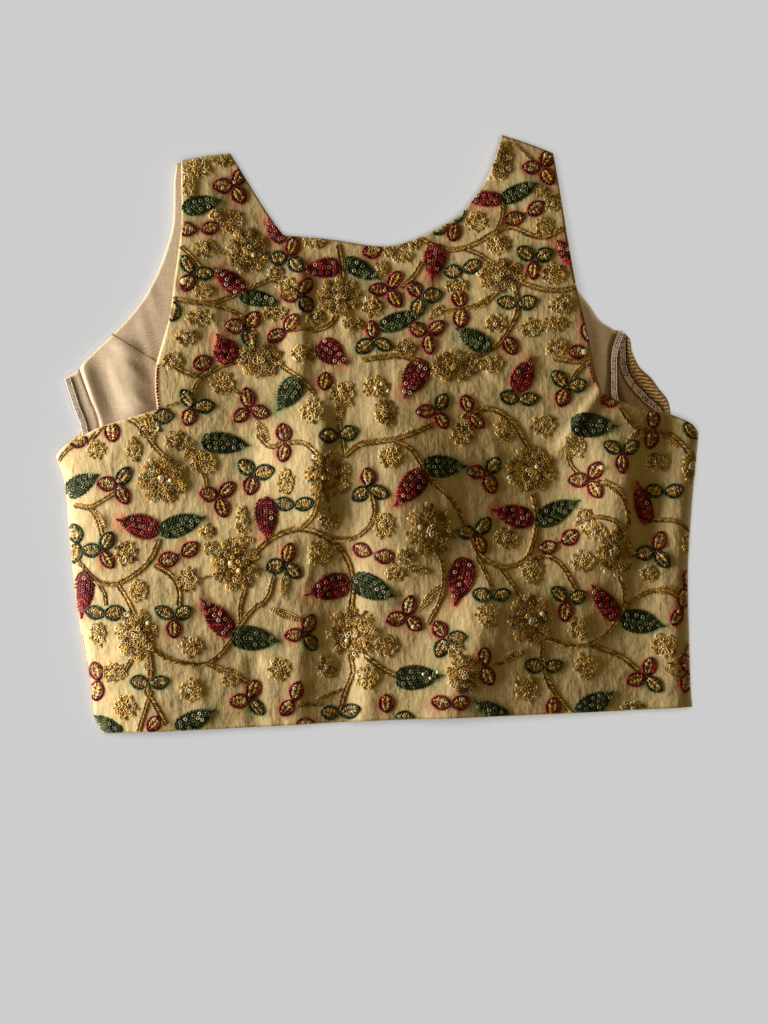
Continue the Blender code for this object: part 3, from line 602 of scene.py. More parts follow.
# Vines. Columns: the rope's width in cells, and then the column and row of each point
VINES = [
    (3.6, 92, 440, 104, 426, 118, 420, 132, 421, 145, 432, 158, 450, 172, 462),
    (3.2, 75, 505, 90, 507, 105, 500, 118, 491), (3.4, 90, 507, 98, 518, 103, 534),
    (3.6, 160, 540, 152, 558, 138, 572, 118, 583, 98, 581, 82, 565, 72, 552),
    (2.4, 98, 581, 105, 592, 107, 604), (3, 118, 583, 128, 598, 136, 614),
    (3.4, 156, 565, 172, 575, 180, 590, 180, 606), (1.6, 203, 578, 212, 575, 222, 574),
    (3.4, 262, 602, 250, 612, 238, 628, 231, 640, 222, 652, 208, 662, 190, 663, 170, 658, 156, 650),
    (3.2, 209, 664, 228, 670, 252, 684), (3, 245, 590, 241, 604, 241, 620),
    (3.6, 151, 654, 152, 672, 148, 690, 155, 702, 166, 722), (3, 152, 690, 145, 712, 139, 732),
    (3, 133, 658, 124, 672, 108, 679), (2.6, 57, 464, 66, 452, 75, 445),
    (3.8, 344, 457, 360, 445, 388, 441, 406, 436, 430, 426),
    (3.4, 392, 441, 410, 450, 421, 466, 434, 484, 452, 502, 466, 528, 477, 552, 490, 563, 506, 566, 524,
     559, 533, 540, 536, 515, 532, 494), (3.2, 526, 559, 545, 556, 560, 565, 574, 588),
    (3.8, 250, 562, 262, 546, 278, 535, 300, 529, 325, 537, 344, 555, 352, 578, 351, 606),
    (3.6, 318, 500, 313, 516, 302, 528), (3.2, 370, 490, 374, 510, 368, 527, 352, 538, 332, 539),
    (3.6, 350, 656, 352, 672, 345, 690, 338, 714), (3, 298, 704, 320, 703), (2.4, 318, 698, 340, 689),
    (3.4, 365, 655, 382, 668, 402, 678), (3.2, 274, 576, 269, 594, 262, 604),
    (3.2, 174, 300, 195, 304, 213, 304, 230, 298, 244, 293), (3, 205, 305, 226, 310, 243, 319, 256, 335),
    (2.8, 180, 247, 192, 258, 200, 268), (1.6, 220, 254, 232, 256),
    (3.2, 244, 291, 258, 286, 270, 281, 282, 284), (3.2, 338, 246, 341, 262, 343, 282),
    (3.2, 290, 331, 304, 329, 316, 331, 330, 325, 339, 312),
    (3.4, 172, 366, 190, 375, 206, 376, 222, 367, 242, 361), (3, 206, 376, 197, 386, 195, 398),
    (3.2, 280, 366, 292, 374, 303, 382, 314, 394), (2, 232, 388, 243, 398),
    (3.4, 362, 361, 385, 358, 404, 358, 430, 367),
    (3.4, 462, 360, 480, 355, 496, 346, 508, 330, 516, 312, 514, 288),
    (3.4, 420, 240, 440, 250, 459, 250, 478, 243, 495, 233, 510, 229, 530, 237, 546, 238, 565, 228),
    (3, 501, 203, 501, 218, 495, 233), (3, 464, 250, 478, 256, 490, 264), (3.4, 400, 288, 413, 277, 421, 264),
    (3.4, 518, 284, 540, 291, 560, 292, 576, 288), (3.4, 502, 286, 488, 300, 470, 308, 440, 313),
    (2.6, 540, 208, 550, 200, 561, 196), (1.8, 514, 145, 525, 155, 532, 163),
    (3.6, 462, 418, 480, 410, 496, 412, 513, 425, 523, 442, 531, 454), (3, 552, 360, 576, 363, 588, 358),
    (3.2, 587, 362, 575, 373, 567, 388), (2.6, 566, 455, 570, 466, 580, 477),
    (3.4, 594, 482, 612, 487, 623, 502, 627, 520, 622, 536), (2.8, 574, 524, 592, 517, 612, 521, 623, 534),
    (3.6, 618, 408, 632, 426, 647, 432, 665, 433, 681, 446, 690, 460),
    (3.2, 618, 574, 623, 596, 618, 616, 605, 633, 588, 643, 570, 645, 552, 640, 538, 634),
    (3.4, 588, 644, 605, 650, 622, 658, 637, 670), (3, 622, 612, 633, 598, 648, 591, 664, 590, 677, 598),
    (3.8, 541, 642, 541, 656, 544, 673, 552, 690, 570, 714), (3, 520, 652, 504, 660, 490, 665),
    (2.6, 476, 556, 486, 576, 492, 592), (3.2, 500, 568, 514, 588, 524, 604),
    (2.8, 434, 547, 441, 560, 443, 582, 438, 602, 427, 622), (3, 650, 520, 672, 521, 690, 530),
    (2.6, 193, 454, 205, 476, 207, 488), (2.2, 178, 404, 168, 408), (2.6, 690, 640, 680, 656, 668, 664),
    (1.6, 391, 560, 396, 568), (3.2, 338, 420, 342, 440, 345, 456),
    (3, 258, 436, 270, 447, 284, 444, 304, 444, 320, 458),
]

# Large bright sequins. Columns: column and row in cells, and radius in mm
SPANGLES = [
    (185, 283, 2.3), (254, 256, 1.7), (583, 353, 2.1), (382, 385, 1.6), (376, 389, 1.3), (388, 392, 1.3),
    (232, 563, 2), (240, 570, 1.6), (420, 527, 1.8), (536, 467, 1.5), (541, 613, 1.7), (347, 640, 1.5),
    (423, 673, 1.1), (430, 677, 1.1), (437, 671, 1.1), (327, 434, 1.1), (333, 437, 1.1), (162, 478, 1.5),
    (172, 481, 1.4), (600, 468, 1.6), (413, 626, 1.5), (150, 622, 1.5), (489, 180, 1.6),
]

# Colours of thread, each as light in linear red, green and blue
GOLD_LIGHT = (1.0, 0.72, 0.215)
GOLD = (0.69, 0.405, 0.075)
GOLD_DEEP = (0.22, 0.105, 0.011)
CREAM = (1.0, 0.92, 0.60)
CRIMSON = (0.27, 0.008, 0.014)
MAROON = (0.075, 0.003, 0.004)
CLEAR = (0.86, 0.78, 0.62)

# Dark, mid and pale thread of red and green motifs, their rings, the ground of their buds and their halos
SHADES = {"r": (MAROON, CRIMSON, (0.52, 0.040, 0.050)),
          "g": ((0.006, 0.014, 0.004), (0.046, 0.074, 0.021), (0.15, 0.20, 0.070))}
RINGS = {"r": (0.58, 0.24, 0.19), "g": (0.36, 0.38, 0.22)}
GROUNDS = {"r": (0.30, 0.11, 0.045), "g": (0.24, 0.17, 0.060)}
HALOS = {"r": (1.0, 0.50, 0.46), "g": (0.60, 0.88, 0.86)}


def ways(degrees):
    """A motif's turn on the cloth, and its directions along and across."""
    turn = math.radians(degrees) - CHART_TURN
    axis = np.array([math.cos(turn), math.sin(turn)])
    return turn, axis, np.array([-axis[1], axis[0]])


def circle(count):
    """Even turns round a whole circle."""
    return np.linspace(0, math.tau, count, endpoint=False)


def ring_of(around, out):
    """Places at the turns around a middle, at the distances out from it."""
    return np.column_stack([np.cos(around) * out, np.sin(around) * out])


def colours(dice, count, *pairs):
    """One colour for each of count stitches, between pairs of (colour, share of the stitches)."""
    shares = np.array([share for _, share in pairs], float)
    picked = dice.choice(len(pairs), count, p=shares / shares.sum())
    table = np.array([colour for colour, _ in pairs])
    return table[picked] * dice.uniform(0.82, 1.18, (count, 1))


def golds(dice, count, *shares):
    """Colours of metal thread, with the shares of plain, light and deep gold and of cream."""
    return colours(dice, count, *zip((GOLD, GOLD_LIGHT, GOLD_DEEP, CREAM), shares))


def ridge_form(stations=4):
    """A stitch one unit long and wide: a low ridge with pointed ends, open underneath."""
    points = []
    for share in even(stations - 1):
        width = 0.5 * math.sin(math.pi * (0.16 + 0.68 * share))
        height = math.sin(math.pi * (0.10 + 0.80 * share))
        points += [(share - 0.5, -width, 0.12 * height), (share - 0.5, 0.0, height),
                   (share - 0.5, width, 0.12 * height)]
    starts = [3 * k + side for k in range(stations - 1) for side in (0, 1)]
    return np.array(points), np.array([(a, a + 3, a + 4, a + 1) for a in starts])


def ring_form(segments, tube, sides=3):
    """A ring of unit outer radius."""
    k, s = (part.ravel() for part in np.indices((segments, sides)))
    turn, roll = math.tau * k / segments, math.tau * s / sides + math.pi / 2
    points = np.column_stack([ring_of(turn, 1 - tube + tube * np.cos(roll)), 0.5 + 0.5 * np.sin(roll)])
    here, ahead, after = k * sides, (k + 1) % segments * sides, (s + 1) % sides
    return points, np.column_stack([here + s, ahead + s, ahead + after, here + after])


def dome_form(segments=8):
    """A low dome of unit radius and height."""
    k = np.arange(segments)
    rings = [np.column_stack([ring_of(math.tau * k / segments, reach), np.full(segments, height)])
             for reach, height in ((0.6, 0.8), (1.0, 0.05))]
    a, b = 1 + k, 1 + (k + 1) % segments
    faces = [np.column_stack([0 * k, a, b, b]), np.column_stack([a, a + segments, b + segments, b])]
    return np.vstack([[(0, 0, 1)], *rings]), np.stack(faces, axis=1).reshape(-1, 4)


RIDGE = ridge_form()
LOOP = ring_form(9, 0.27)
SEQUIN = ring_form(12, 0.24)
DOME = dome_form()


def front_outline():
    """The whole edge of the front, anticlockwise from the hem's left end."""
    edges = [
        HEM, RIGHT_SIDE, RIGHT_UNDERARM[::-1], RIGHT_ARMHOLE, RIGHT_STRAP_OUT, RIGHT_SHOULDER[::-1],
        RIGHT_STRAP_IN[::-1], NECK_FRONT[::-1], LEFT_STRAP_IN, LEFT_SHOULDER[::-1], LEFT_STRAP_OUT[::-1],
        LEFT_ARMHOLE[::-1], LEFT_UNDERARM[::-1], LEFT_SIDE[::-1],
    ]
    return np.vstack([smooth_curve(edge, 6)[:-1] for edge in edges])


def inside(points, outline):
    """Which points lie inside an outline."""
    x, y = points[:, 0][:, None], points[:, 1][:, None]
    x0, y0 = outline[:, 0][None], outline[:, 1][None]
    x1, y1 = np.roll(outline[:, 0], -1)[None], np.roll(outline[:, 1], -1)[None]
    crossed = (y0 > y) != (y1 > y)
    with np.errstate(divide="ignore", invalid="ignore"):
        at = x0 + (y - y0) * (x1 - x0) / (y1 - y0)
    return (np.sum(crossed & (x < at), axis=1) % 2).astype(bool)


class Stitches:
    """Copies of small forms that lie on the cloth, joined into one piece."""

    def __init__(self, name, outline, height):
        self.name, self.outline, self.height = name, outline, height
        self.points, self.faces, self.tints, self.count = [], [], [], 0

    def add(self, form, at, turn, size, tint, lift=0.0):
        """Copies at points, turned, with (length, width, height), coloured, and lifted off the cloth."""
        at = np.atleast_2d(at)
        count = len(at)
        turn, lift, *size = (np.broadcast_to(value, count) for value in (turn, lift, *size))
        tint = np.broadcast_to(np.asarray(tint, float), (count, 3))
        shape, faces = form
        local = shape[None] * np.stack(size, axis=1)[:, None]
        cos, sin = np.cos(turn)[:, None], np.sin(turn)[:, None]
        plan_x = at[:, 0, None] + local[..., 0] * cos - local[..., 1] * sin
        plan_y = at[:, 1, None] + local[..., 0] * sin + local[..., 1] * cos
        points = np.stack([plan_x, plan_y, local[..., 2] + lift[:, None]], axis=-1)
        if self.outline is not None:
            if form is DOME:
                self.draw_in(points, at)
            ends = [points[:, k, :2] for k in (0, len(shape) // 4, len(shape) // 2, -1)]
            kept = np.all([inside(end, self.outline) for end in ends], axis=0)
            points, tint = points[kept], tint[kept]
        if len(points) == 0:
            return
        offsets = self.count + len(shape) * np.arange(len(points))
        self.points.append(points.reshape(-1, 3))
        self.faces.append((faces[None] + offsets[:, None, None]).reshape(-1, 4))
        self.tints.append(np.repeat(tint, len(shape), axis=0))
        self.count += len(points) * len(shape)

    def draw_in(self, points, at):
        """Moves what lies past the cloth's edge towards each copy's own middle."""
        middle = np.broadcast_to(at[:, None], points[..., :2].shape)
        for _ in range(7):
            past = ~inside(points[..., :2].reshape(-1, 2), self.outline).reshape(points.shape[:2])
            points[..., :2][past] = 0.72 * points[..., :2][past] + 0.28 * middle[past]

    def build(self, material):
        points, faces, tints = np.vstack(self.points), np.vstack(self.faces), np.vstack(self.tints)
        points[:, 2] += self.height(points[:, 0], points[:, 1])
        short = faces[:, 2] == faces[:, 3]
        corners = faces[~short].tolist() + faces[short, :3].tolist()
        return mesh_piece(self.name, points, corners, material, tints)


def leaf(threads, sequins, dice, row):
    """A pointed leaf with toothed edges: slanting stitches from the rib, and rings among them."""
    column, down, degrees, length, width, colour = row
    centre = cloth_point(column, down)
    turn, axis, cross = ways(degrees)
    length, width = length * CHART_CELL, width * CHART_CELL
    dark, mid, pale = SHADES[colour]
    blunt, sharp = 0.48, 0.98
    widest = (blunt / (blunt + sharp)) ** blunt * (sharp / (blunt + sharp)) ** sharp

    def half(share):
        """Half width at a share of the length from the stem."""
        share = np.clip(share, 0.001, 0.999)
        return 0.5 * width * share**blunt * (1 - share) ** sharp / widest

    def place(share, aside):
        return centre + np.outer((share - 0.5) * length, axis) + np.outer(aside, cross)

    base = centre - 0.07 * length * axis
    threads.add(DOME, base, turn, (0.38 * length, 0.37 * width, 0.30), np.array(dark) * 2.2, 0.02)
    slant = math.radians(50)
    rows = np.arange(-0.30, 0.97, LEAF_STEP / length)
    many = len(rows)
    for side in (-1, 1):
        line = colours(dice, many, (dark, 4.5), (mid, 5), (pale, 1.8))
        for reach in (0.13, 0.38, 0.63, 0.88):
            aside = half(rows + 0.5 * reach * width / length / math.tan(slant)) * reach
            share = rows + aside / math.tan(slant) / length + dice.uniform(-0.006, 0.006, many)
            aside = np.minimum(aside, half(share) * reach) + dice.uniform(-0.12, 0.12, many)
            kept = (share > 0.02) & (share < 0.965)
            count = int(kept.sum())
            shorter = np.clip(half(share) / (0.30 * width), 0.35, 1.0)
            tooth = (reach > 0.8) * np.where(np.arange(many) % 2, 1.5, 0.0)
            long = (2.5 + tooth + dice.uniform(-0.2, 0.3, many)) * shorter
            high = 0.80 + dice.uniform(-0.1, 0.2, many)
            turned = turn + side * slant * (0.9 + 0.1 * shorter[kept]) + dice.uniform(-0.12, 0.12, count)
            tint = line[kept] * dice.uniform(0.8, 1.2, (count, 1))
            lift = 0.12 + 0.40 * (1 - reach) + 0.12 * dice.uniform(0, 1, count)
            at, size = place(share, side * aside)[kept], (long[kept], 1.15, high[kept])
            threads.add(RIDGE, at, turned, size, tint, lift)
    bright = dice.choice([0.1, 0.3, 0.8, 4.0])
    for reach, count in ((-0.50, 5), (0.0, 6), (0.50, 5)):
        share = np.linspace(0.16, 0.80, count) + dice.uniform(-0.03, 0.03, count)
        at = place(share, half(share) * reach + dice.uniform(-0.3, 0.3, count))
        kept = dice.uniform(0, 1, count) < 0.85
        tint = colours(dice, int(kept.sum()), (CLEAR, bright), (RINGS[colour], 4), (pale, 4))
        sequins.add(SEQUIN, at[kept], 0.0, (1.3, 1.3, 0.45), tint, 0.95)


def bud(threads, gold, sequins, dice, centre, turn, colour):
    """An oval bud: a satin outline, heavier on its lower side, round a fill of gold grains."""
    dark, mid, pale = SHADES[colour]
    length, width = BUD_LENGTH * dice.uniform(0.92, 1.08), BUD_WIDTH * dice.uniform(0.88, 1.08)
    spin = np.array([[math.cos(turn), math.sin(turn)], [-math.sin(turn), math.cos(turn)]])
    ground = np.array(GROUNDS[colour]) * dice.uniform(0.7, 1.2)
    threads.add(DOME, centre, turn, (0.5 * length, 0.5 * width, 0.55), ground, 0.05)
    count = 40
    around = circle(count)
    pinch = 1 - 0.26 * np.cos(around) ** 2 - 0.08 * np.cos(around)
    spun = np.column_stack([0.5 * length * np.cos(around), 0.5 * width * np.sin(around) * pinch]) @ spin
    outward = np.arctan2(spun[:, 1], spun[:, 0])
    low = 0.5 - 0.5 * np.sin(outward + 0.6)
    at = centre + spun * (1 - 0.30 * low / np.linalg.norm(spun, axis=1))[:, None]
    tint = colours(dice, count, (dark, 4.4), (mid, 5), (pale, 1.5))
    threads.add(RIDGE, at, outward + 0.5, (1.55 + 1.15 * low, 1.05, 0.9), tint, 0.25)
    reach = 0.37 * length
    steps = np.arange(-reach, reach + 0.1, GRAIN_STEP)
    many = len(steps)
    across = np.sqrt(1 - (steps / reach / 1.12) ** 2)
    for side in (-1, 1):
        fill = np.column_stack([steps, side * 0.18 * width * across]) + dice.uniform(-0.15, 0.15, (many, 2))
        spun = fill @ spin
        tint = colours(dice, many, (GOLD, 5), (GOLD_LIGHT, 2.6), (GOLD_DEEP, 3.6), (mid, 1.5), (CREAM, 1.1))
        slanted = turn + side + 0.6 * np.sin(2.4 * np.arange(many) + side)
        gold.add(RIDGE, centre + spun, slanted, (0.40 * width * across, 0.95, 0.85), tint, 0.42)
    few = int(dice.choice([0, 0, 1, 2, 2]))
    if few:
        spot = centre + spun[dice.integers(0, many, few)]
        sequins.add(SEQUIN, spot, 0.0, (1.05, 1.05, 0.5), colours(dice, few, (CREAM, 3), (CLEAR, 2)), 1.0)


def clusters(threads, gold, sequins, dice):
    """Every bud of the chart, and the short stems that join some pairs."""
    placed = []
    for column, down, degrees, letters in BUDS:
        centre = cloth_point(column, down)
        turn, way, _ = ways(degrees)
        kinds = letters.replace("-", "")
        spots = [(centre, turn)]
        if len(kinds) == 2:
            apart = STEM_APART if "-" in letters else PAIR_APART
            spots = [(centre + side * apart * way, turn + side * 0.22) for side in (1, -1)]
        elif len(kinds) == 3:
            outs = turn + np.arange(3) * math.tau / 3
            spots = list(zip(centre + ring_of(outs, THREE_APART), outs))
        if "-" in letters:
            stem = centre + np.outer(np.linspace(-2.6, 2.6, 6), way)
            threads.add(RIDGE, stem, turn + 0.15, (1.7, 0.85, 0.7), CRIMSON, 0.1)
        for (spot, out), kind in zip(spots, kinds):
            bud(threads, gold, sequins, dice, spot, out, kind)
            placed.append((spot, kind))
    return placed


def loops(gold, dice, at, radius, tint, lift, turn=None):
    """Standing loops of metal thread, each a little uneven."""
    count = len(at)
    size = radius * dice.uniform(0.78, 1.18, (count, 3)) * np.array([1.0, 0.60, 0.46])
    if turn is None:
        turn = dice.uniform(0, math.pi, count)
    gold.add(LOOP, at, turn + dice.uniform(-0.35, 0.35, count), size.T, tint, lift)


def loose(gold, dice, centre, reach, count, mix, lift):
    """Short stitches of metal thread that lie every way over a motif."""
    around, out = dice.uniform(0, math.tau, count), 0.88 * np.sqrt(dice.uniform(0, 1, count))
    at = centre + ring_of(around, out) * reach
    size = [dice.uniform(low, high, count) for low, high in ((1.5, 2.9), (0.6, 0.85), (0.6, 1.0))]
    turn = dice.uniform(0, math.pi, count)
    gold.add(RIDGE, at, turn, size, golds(dice, count, *mix), lift * (1 - 0.5 * out))


def flower(gold, sequins, dice, row):
    """A large flower: frilled petals of loops round a darker, beaded middle."""
    column, down, wide, high = row
    centre = cloth_point(column, down)
    reach = np.array([wide, high]) * 0.5 * CHART_CELL
    petals = int(dice.integers(7, 10))
    start = dice.uniform(0, math.tau)
    gold.add(DOME, centre, 0.0, (*(0.80 * reach), 0.5), np.array(GOLD) * 0.8, 0.02)
    for share, count in ((0.96, 32), (0.80, 28), (0.62, 22), (0.44, 16), (0.26, 9)):
        around = circle(count) + dice.uniform(0, 1)
        crest = 0.5 + 0.5 * np.cos(petals * (around - start + 0.25 * share))
        frill = 1.0 - 0.15 * (1 - crest) * (share > 0.45)
        at = centre + ring_of(around, share * frill + dice.uniform(-0.03, 0.03, count)) * reach
        kept = (crest > 0.10) | (share < 0.9)
        tint = golds(dice, count, 4, 3.8, 3.0, 1.6)
        # Painted shade and highlight: outer rings' loops are darkened in the hollows between petals and
        # lightened on the crests; the inner rings are all darkened a little
        tint = tint * (0.66 + 0.58 * crest[:, None] if share > 0.45 else 0.85)
        turn = around[kept] if share > 0.7 else None
        loops(gold, dice, at[kept], 2.05, tint[kept], 0.12 + 0.6 * (1 - share), turn)
    loose(gold, dice, centre, reach, 74, (4, 4, 2.5, 1.2), 0.85)
    bits = dice.normal(0, 0.13, (9, 2)) * reach + centre
    tint = colours(dice, 9, (GOLD_DEEP, 4), (MAROON, 1.5), (GOLD, 2))
    gold.add(DOME, bits, 0.0, (1.1, 1.1, 0.9), tint, 0.7)
    tint = colours(dice, 5, (CREAM, 3), (GOLD_LIGHT, 2))
    sequins.add(SEQUIN, bits[:5], 0.0, (1.5, 1.5, 0.6), tint, 1.3)


def rosette(gold, sequins, dice, row):
    """A small rosette: frilly rings of loops round a little spiral."""
    column, down, wide, high, pale = row
    centre = cloth_point(column, down)
    reach = np.array([wide, high]) * 0.5 * CHART_CELL
    mix = (3.6, 2.4 + 5 * pale, 4.8 - 3.6 * pale, 1.3 + 1.8 * pale)
    start = dice.uniform(0, math.tau)
    gold.add(DOME, centre, 0.0, (*(0.30 * reach), 0.30), np.array(GOLD) * (0.6 + 0.5 * pale), 0.02)
    petals = int(dice.choice([5, 6, 7]))
    around = start + circle(petals)
    wide = 0.36 * reach.mean()
    gold.add(LOOP, centre + ring_of(around, 0.58) * reach, around, (wide, 0.62 * wide, 0.7),
             golds(dice, petals, *mix), 0.05)
    count = petals + 4
    around = start + circle(count) + dice.uniform(-0.15, 0.15, count)
    at = centre + ring_of(around, 0.86 + dice.uniform(-0.12, 0.12, count)) * reach
    loops(gold, dice, at, 1.75, golds(dice, count, *mix), 0.0, around)
    loose(gold, dice, centre, 0.85 * reach, 16, mix, 0.6)
    around = start + circle(28)
    at = centre + ring_of(around, 0.86 * (0.72 + 0.30 * np.abs(np.cos(0.5 * petals * around)))) * reach
    gold.add(RIDGE, at, around + 1.2, (1.9, 0.75, 0.8), golds(dice, 28, *mix), 0.3)
    around = start + np.linspace(0, 3.4 * math.pi, 15)
    at = centre + ring_of(around, np.linspace(0.08, 0.40, 15)) * reach.min()
    gold.add(RIDGE, at, around + math.pi / 2, (1.5, 0.8, 0.9), golds(dice, 15, *mix), 0.5)
    if dice.uniform() < 0.35:
        sequins.add(SEQUIN, centre, 0.0, (1.1, 1.1, 0.5), colours(dice, 1, (CREAM, 1)), 1.2)


def vine(gold, dice, row):
    """A rope of two rows of slanting stitches."""
    width = 1.58 * row[0] * CHART_CELL
    path = cloth_point(row[1::2], row[2::2])
    many = max(4, int(curve_length(path) / VINE_STEP)) + 1
    at = along(path, even(many - 1))
    turn, side = headings(at)
    for sign in (-1, 1):
        spot = at + side * (0.26 * width * sign + dice.uniform(-0.16, 0.16, (many, 1)))
        long = width * dice.uniform(0.66, 0.98, many)
        tint = golds(dice, many, 6.4, 1.0, 4.0, 0.5)
        slanted = turn + sign * math.radians(38) + dice.uniform(-0.22, 0.22, many)
        # Painted shade and highlight: the row on the rope's right is darkened and the row on its left is
        # lightened
        gold.add(RIDGE, spot, slanted, (long, 0.82, 0.82), tint * (0.9 + 0.2 * sign), 0.12)


def sprig(gold, dice, row):
    """A wheat ear: paired grains along a short stem."""
    column, down, degrees, length = row
    turn, axis, cross = ways(degrees)
    length = length * CHART_CELL
    steps = np.arange(-0.5 * length, 0.5 * length, SPRIG_STEP)
    taper = 1 - 0.80 * np.abs(steps / length * 2 - 0.15) ** 1.6
    for side in (-1, 1):
        for reach in (0.9, 2.3):
            at = cloth_point(column, down) + np.outer(steps, axis) + np.outer(side * reach * taper, cross)
            tint = golds(dice, len(steps), 4, 3, 3, 0.6)
            gold.add(RIDGE, at, turn + side * 0.6, (2.5 * taper, 0.85, 0.8), tint, 0.12)


def halo(plan, placed):
    """Colour that the ground takes round red and green motifs, for each point of the silk."""
    tint = np.ones((len(plan), 3))
    bud_reach, dash_reach, leaf_reach, towards_light = 10.0, 6.0, 11.0, np.array([-1.0, -0.8])
    spots = [(spot, kind, bud_reach) for spot, kind in placed]
    for edge, _, first, last in EDGE_DASHES:
        spots += [(np.array([curve_x(edge, y), y]), "r", dash_reach) for y in np.arange(first, last, 3.0)]
    for column, down, degrees, length, _, kind in LEAVES:
        for share in (-0.3, 0.0, 0.3):
            aside = share * length * CHART_CELL * ways(degrees)[1]
            spots.append((cloth_point(column, down) + aside, kind, leaf_reach))
    for spot, kind, reach in spots:
        spot = spot + towards_light
        near = np.nonzero(np.all(np.abs(plan - spot) < reach, axis=1))[0]
        strength = ease(1.25 * (1 - np.linalg.norm(plan[near] - spot, axis=1) / reach))[:, None]
        tint[near] = np.minimum(tint[near], 1 - 0.85 * strength * (1 - np.array(HALOS[kind])))
    return tint


def embroidery():
    """Every stitched piece of the front, and where its buds are."""
    dice = np.random.default_rng(11)
    outline = front_outline()
    names = ("leaf_threads", "bud_threads", "bud_gold", "flower_loops", "rosette_loops", "vine_ropes",
             "ring_sequins")
    made = [Stitches(name, outline, front_height) for name in names]
    leaves, buds, fills, flowers, rosettes, vines, rings = made
    for row in LEAVES:
        leaf(leaves, rings, dice, row)
    placed = clusters(buds, fills, rings, dice)
    for row in FLOWERS:
        flower(flowers, rings, dice, row)
    for row in ROSETTES:
        rosette(rosettes, rings, dice, row)
    for row in VINES:
        vine(vines, dice, row)
    for row in SPRIGS:
        sprig(vines, dice, row)
    for column, down, radius in SPANGLES:
        rings.add(DOME, cloth_point(column, down), 0.0, (radius, radius, 0.45), CREAM, 1.5)
    arc = np.radians(np.arange(150, 262, 14))
    at = cloth_point(188, 170) + ring_of(arc, 3.4)
    rings.add(RIDGE, at, arc + math.pi / 2, (1.6, 1.3, 0.6), (0.95, 0.95, 0.88), 0.5)
    satin, metal = thread("satin_thread", 0.45, 0.35), thread("metal_thread", 0.42, 0.7)
    kinds = [satin, satin, metal, metal, metal, metal, thread("sequin", 0.18, 0.8)]
    return [stitches.build(kind) for stitches, kind in zip(made, kinds)], placed


def edge_dashes():
    """Dark red stitches that run over the front's armhole edges in places."""
    stitches = Stitches("edge_dashes", None, front_height)
    dice = np.random.default_rng(31)
    for edge, inward, first, last in EDGE_DASHES:
        curve = smooth_curve(edge, 20)
        curve = curve[(curve[:, 1] > first) & (curve[:, 1] < last)]
        at = along(curve, even(int((last - first) / DASH_STEP))) + np.array([inward, 0.0])
        many = len(at)
        turn = headings(at)[0] + dice.uniform(-0.5, 0.5, many)
        long = dice.uniform(1.3, 2.3, many)
        stitches.add(RIDGE, at, turn, (long, 1.1, 0.8), colours(dice, many, (MAROON, 6), (CRIMSON, 2)), 0.05)
    return stitches.build(thread("edge_thread", 0.5, 0.3))


def front_silk(placed):
    points, faces, count = shell(front_grids(), lambda plan: two_faces(front_height, CLOTH, plan))
    tints = np.ones((len(points), 3))
    tints[:count] = halo(points[:count, :2], placed)
    material = silk("embroidered_silk", (0.70, 0.555, 0.30), (0.47, 0.350, 0.160), True)
    return mesh_piece("front_silk", points, faces, material, tints)


def lining_grids():
    """The lining in rows across the body, and in shorter rows up each strap."""
    hem_y, armhole_y, seam_y, neck_y = 12.0, 196.0, 262.0, 312.0
    steps = ((hem_y, armhole_y, 36), (armhole_y, seam_y, 40), (seam_y, neck_y, 24))
    neck_left, neck_right, left_top, right_top, strap_rows = -66.0, 46.0, 380.0, 373.0, 22

    def left_x(y):
        low = y < LINING_LEFT_EDGE[0][1]
        return curve_x(LINING_LEFT_EDGE, y) if low else curve_x(BACK_LEFT_ARMHOLE[5:], y) + 0.4

    def right_x(y):
        low = y < LINING_RIGHT_EDGE[0][1]
        return curve_x(LINING_RIGHT_EDGE, y) if low else curve_x(BACK_RIGHT_ARMHOLE[11:], y) - 0.4

    def row(start, end, shares, y):
        return np.column_stack([start + (end - start) * shares, np.full(len(shares), y)])

    cells = int((right_x(100.0) - left_x(100.0)) / LINING_STEP)
    levels = np.unique(np.concatenate([np.linspace(*step) for step in steps]))
    grids = [np.array([row(left_x(y), right_x(y), even(cells), y) for y in levels])]
    last = grids[0][-1]
    inner_left, inner_right = (int(np.argmin(np.abs(last[:, 0] - x))) for x in (neck_left, neck_right))
    for base, top, start, end in (
        (last[:inner_left + 1], left_top, left_x, lambda y: curve_x(BACK_NECK[:4], y) - 1.0),
        (last[inner_right:], right_top, lambda y: curve_x(BACK_NECK[7:], y) + 1.0, right_x),
    ):
        upper = [row(start(y), end(y), shares_of(base), y) for y in np.linspace(neck_y, top, strap_rows)[1:]]
        grids.append(np.array([base] + upper))
    return grids


def back_lining():
    points, faces, _ = shell(lining_grids(), lambda plan: two_faces(lining_height, LINING, plan))
    material = lining_cotton("lining_cotton", (0.66, 0.54, 0.40), (0.50, 0.385, 0.27))
    return mesh_piece("lining", points, faces, material)


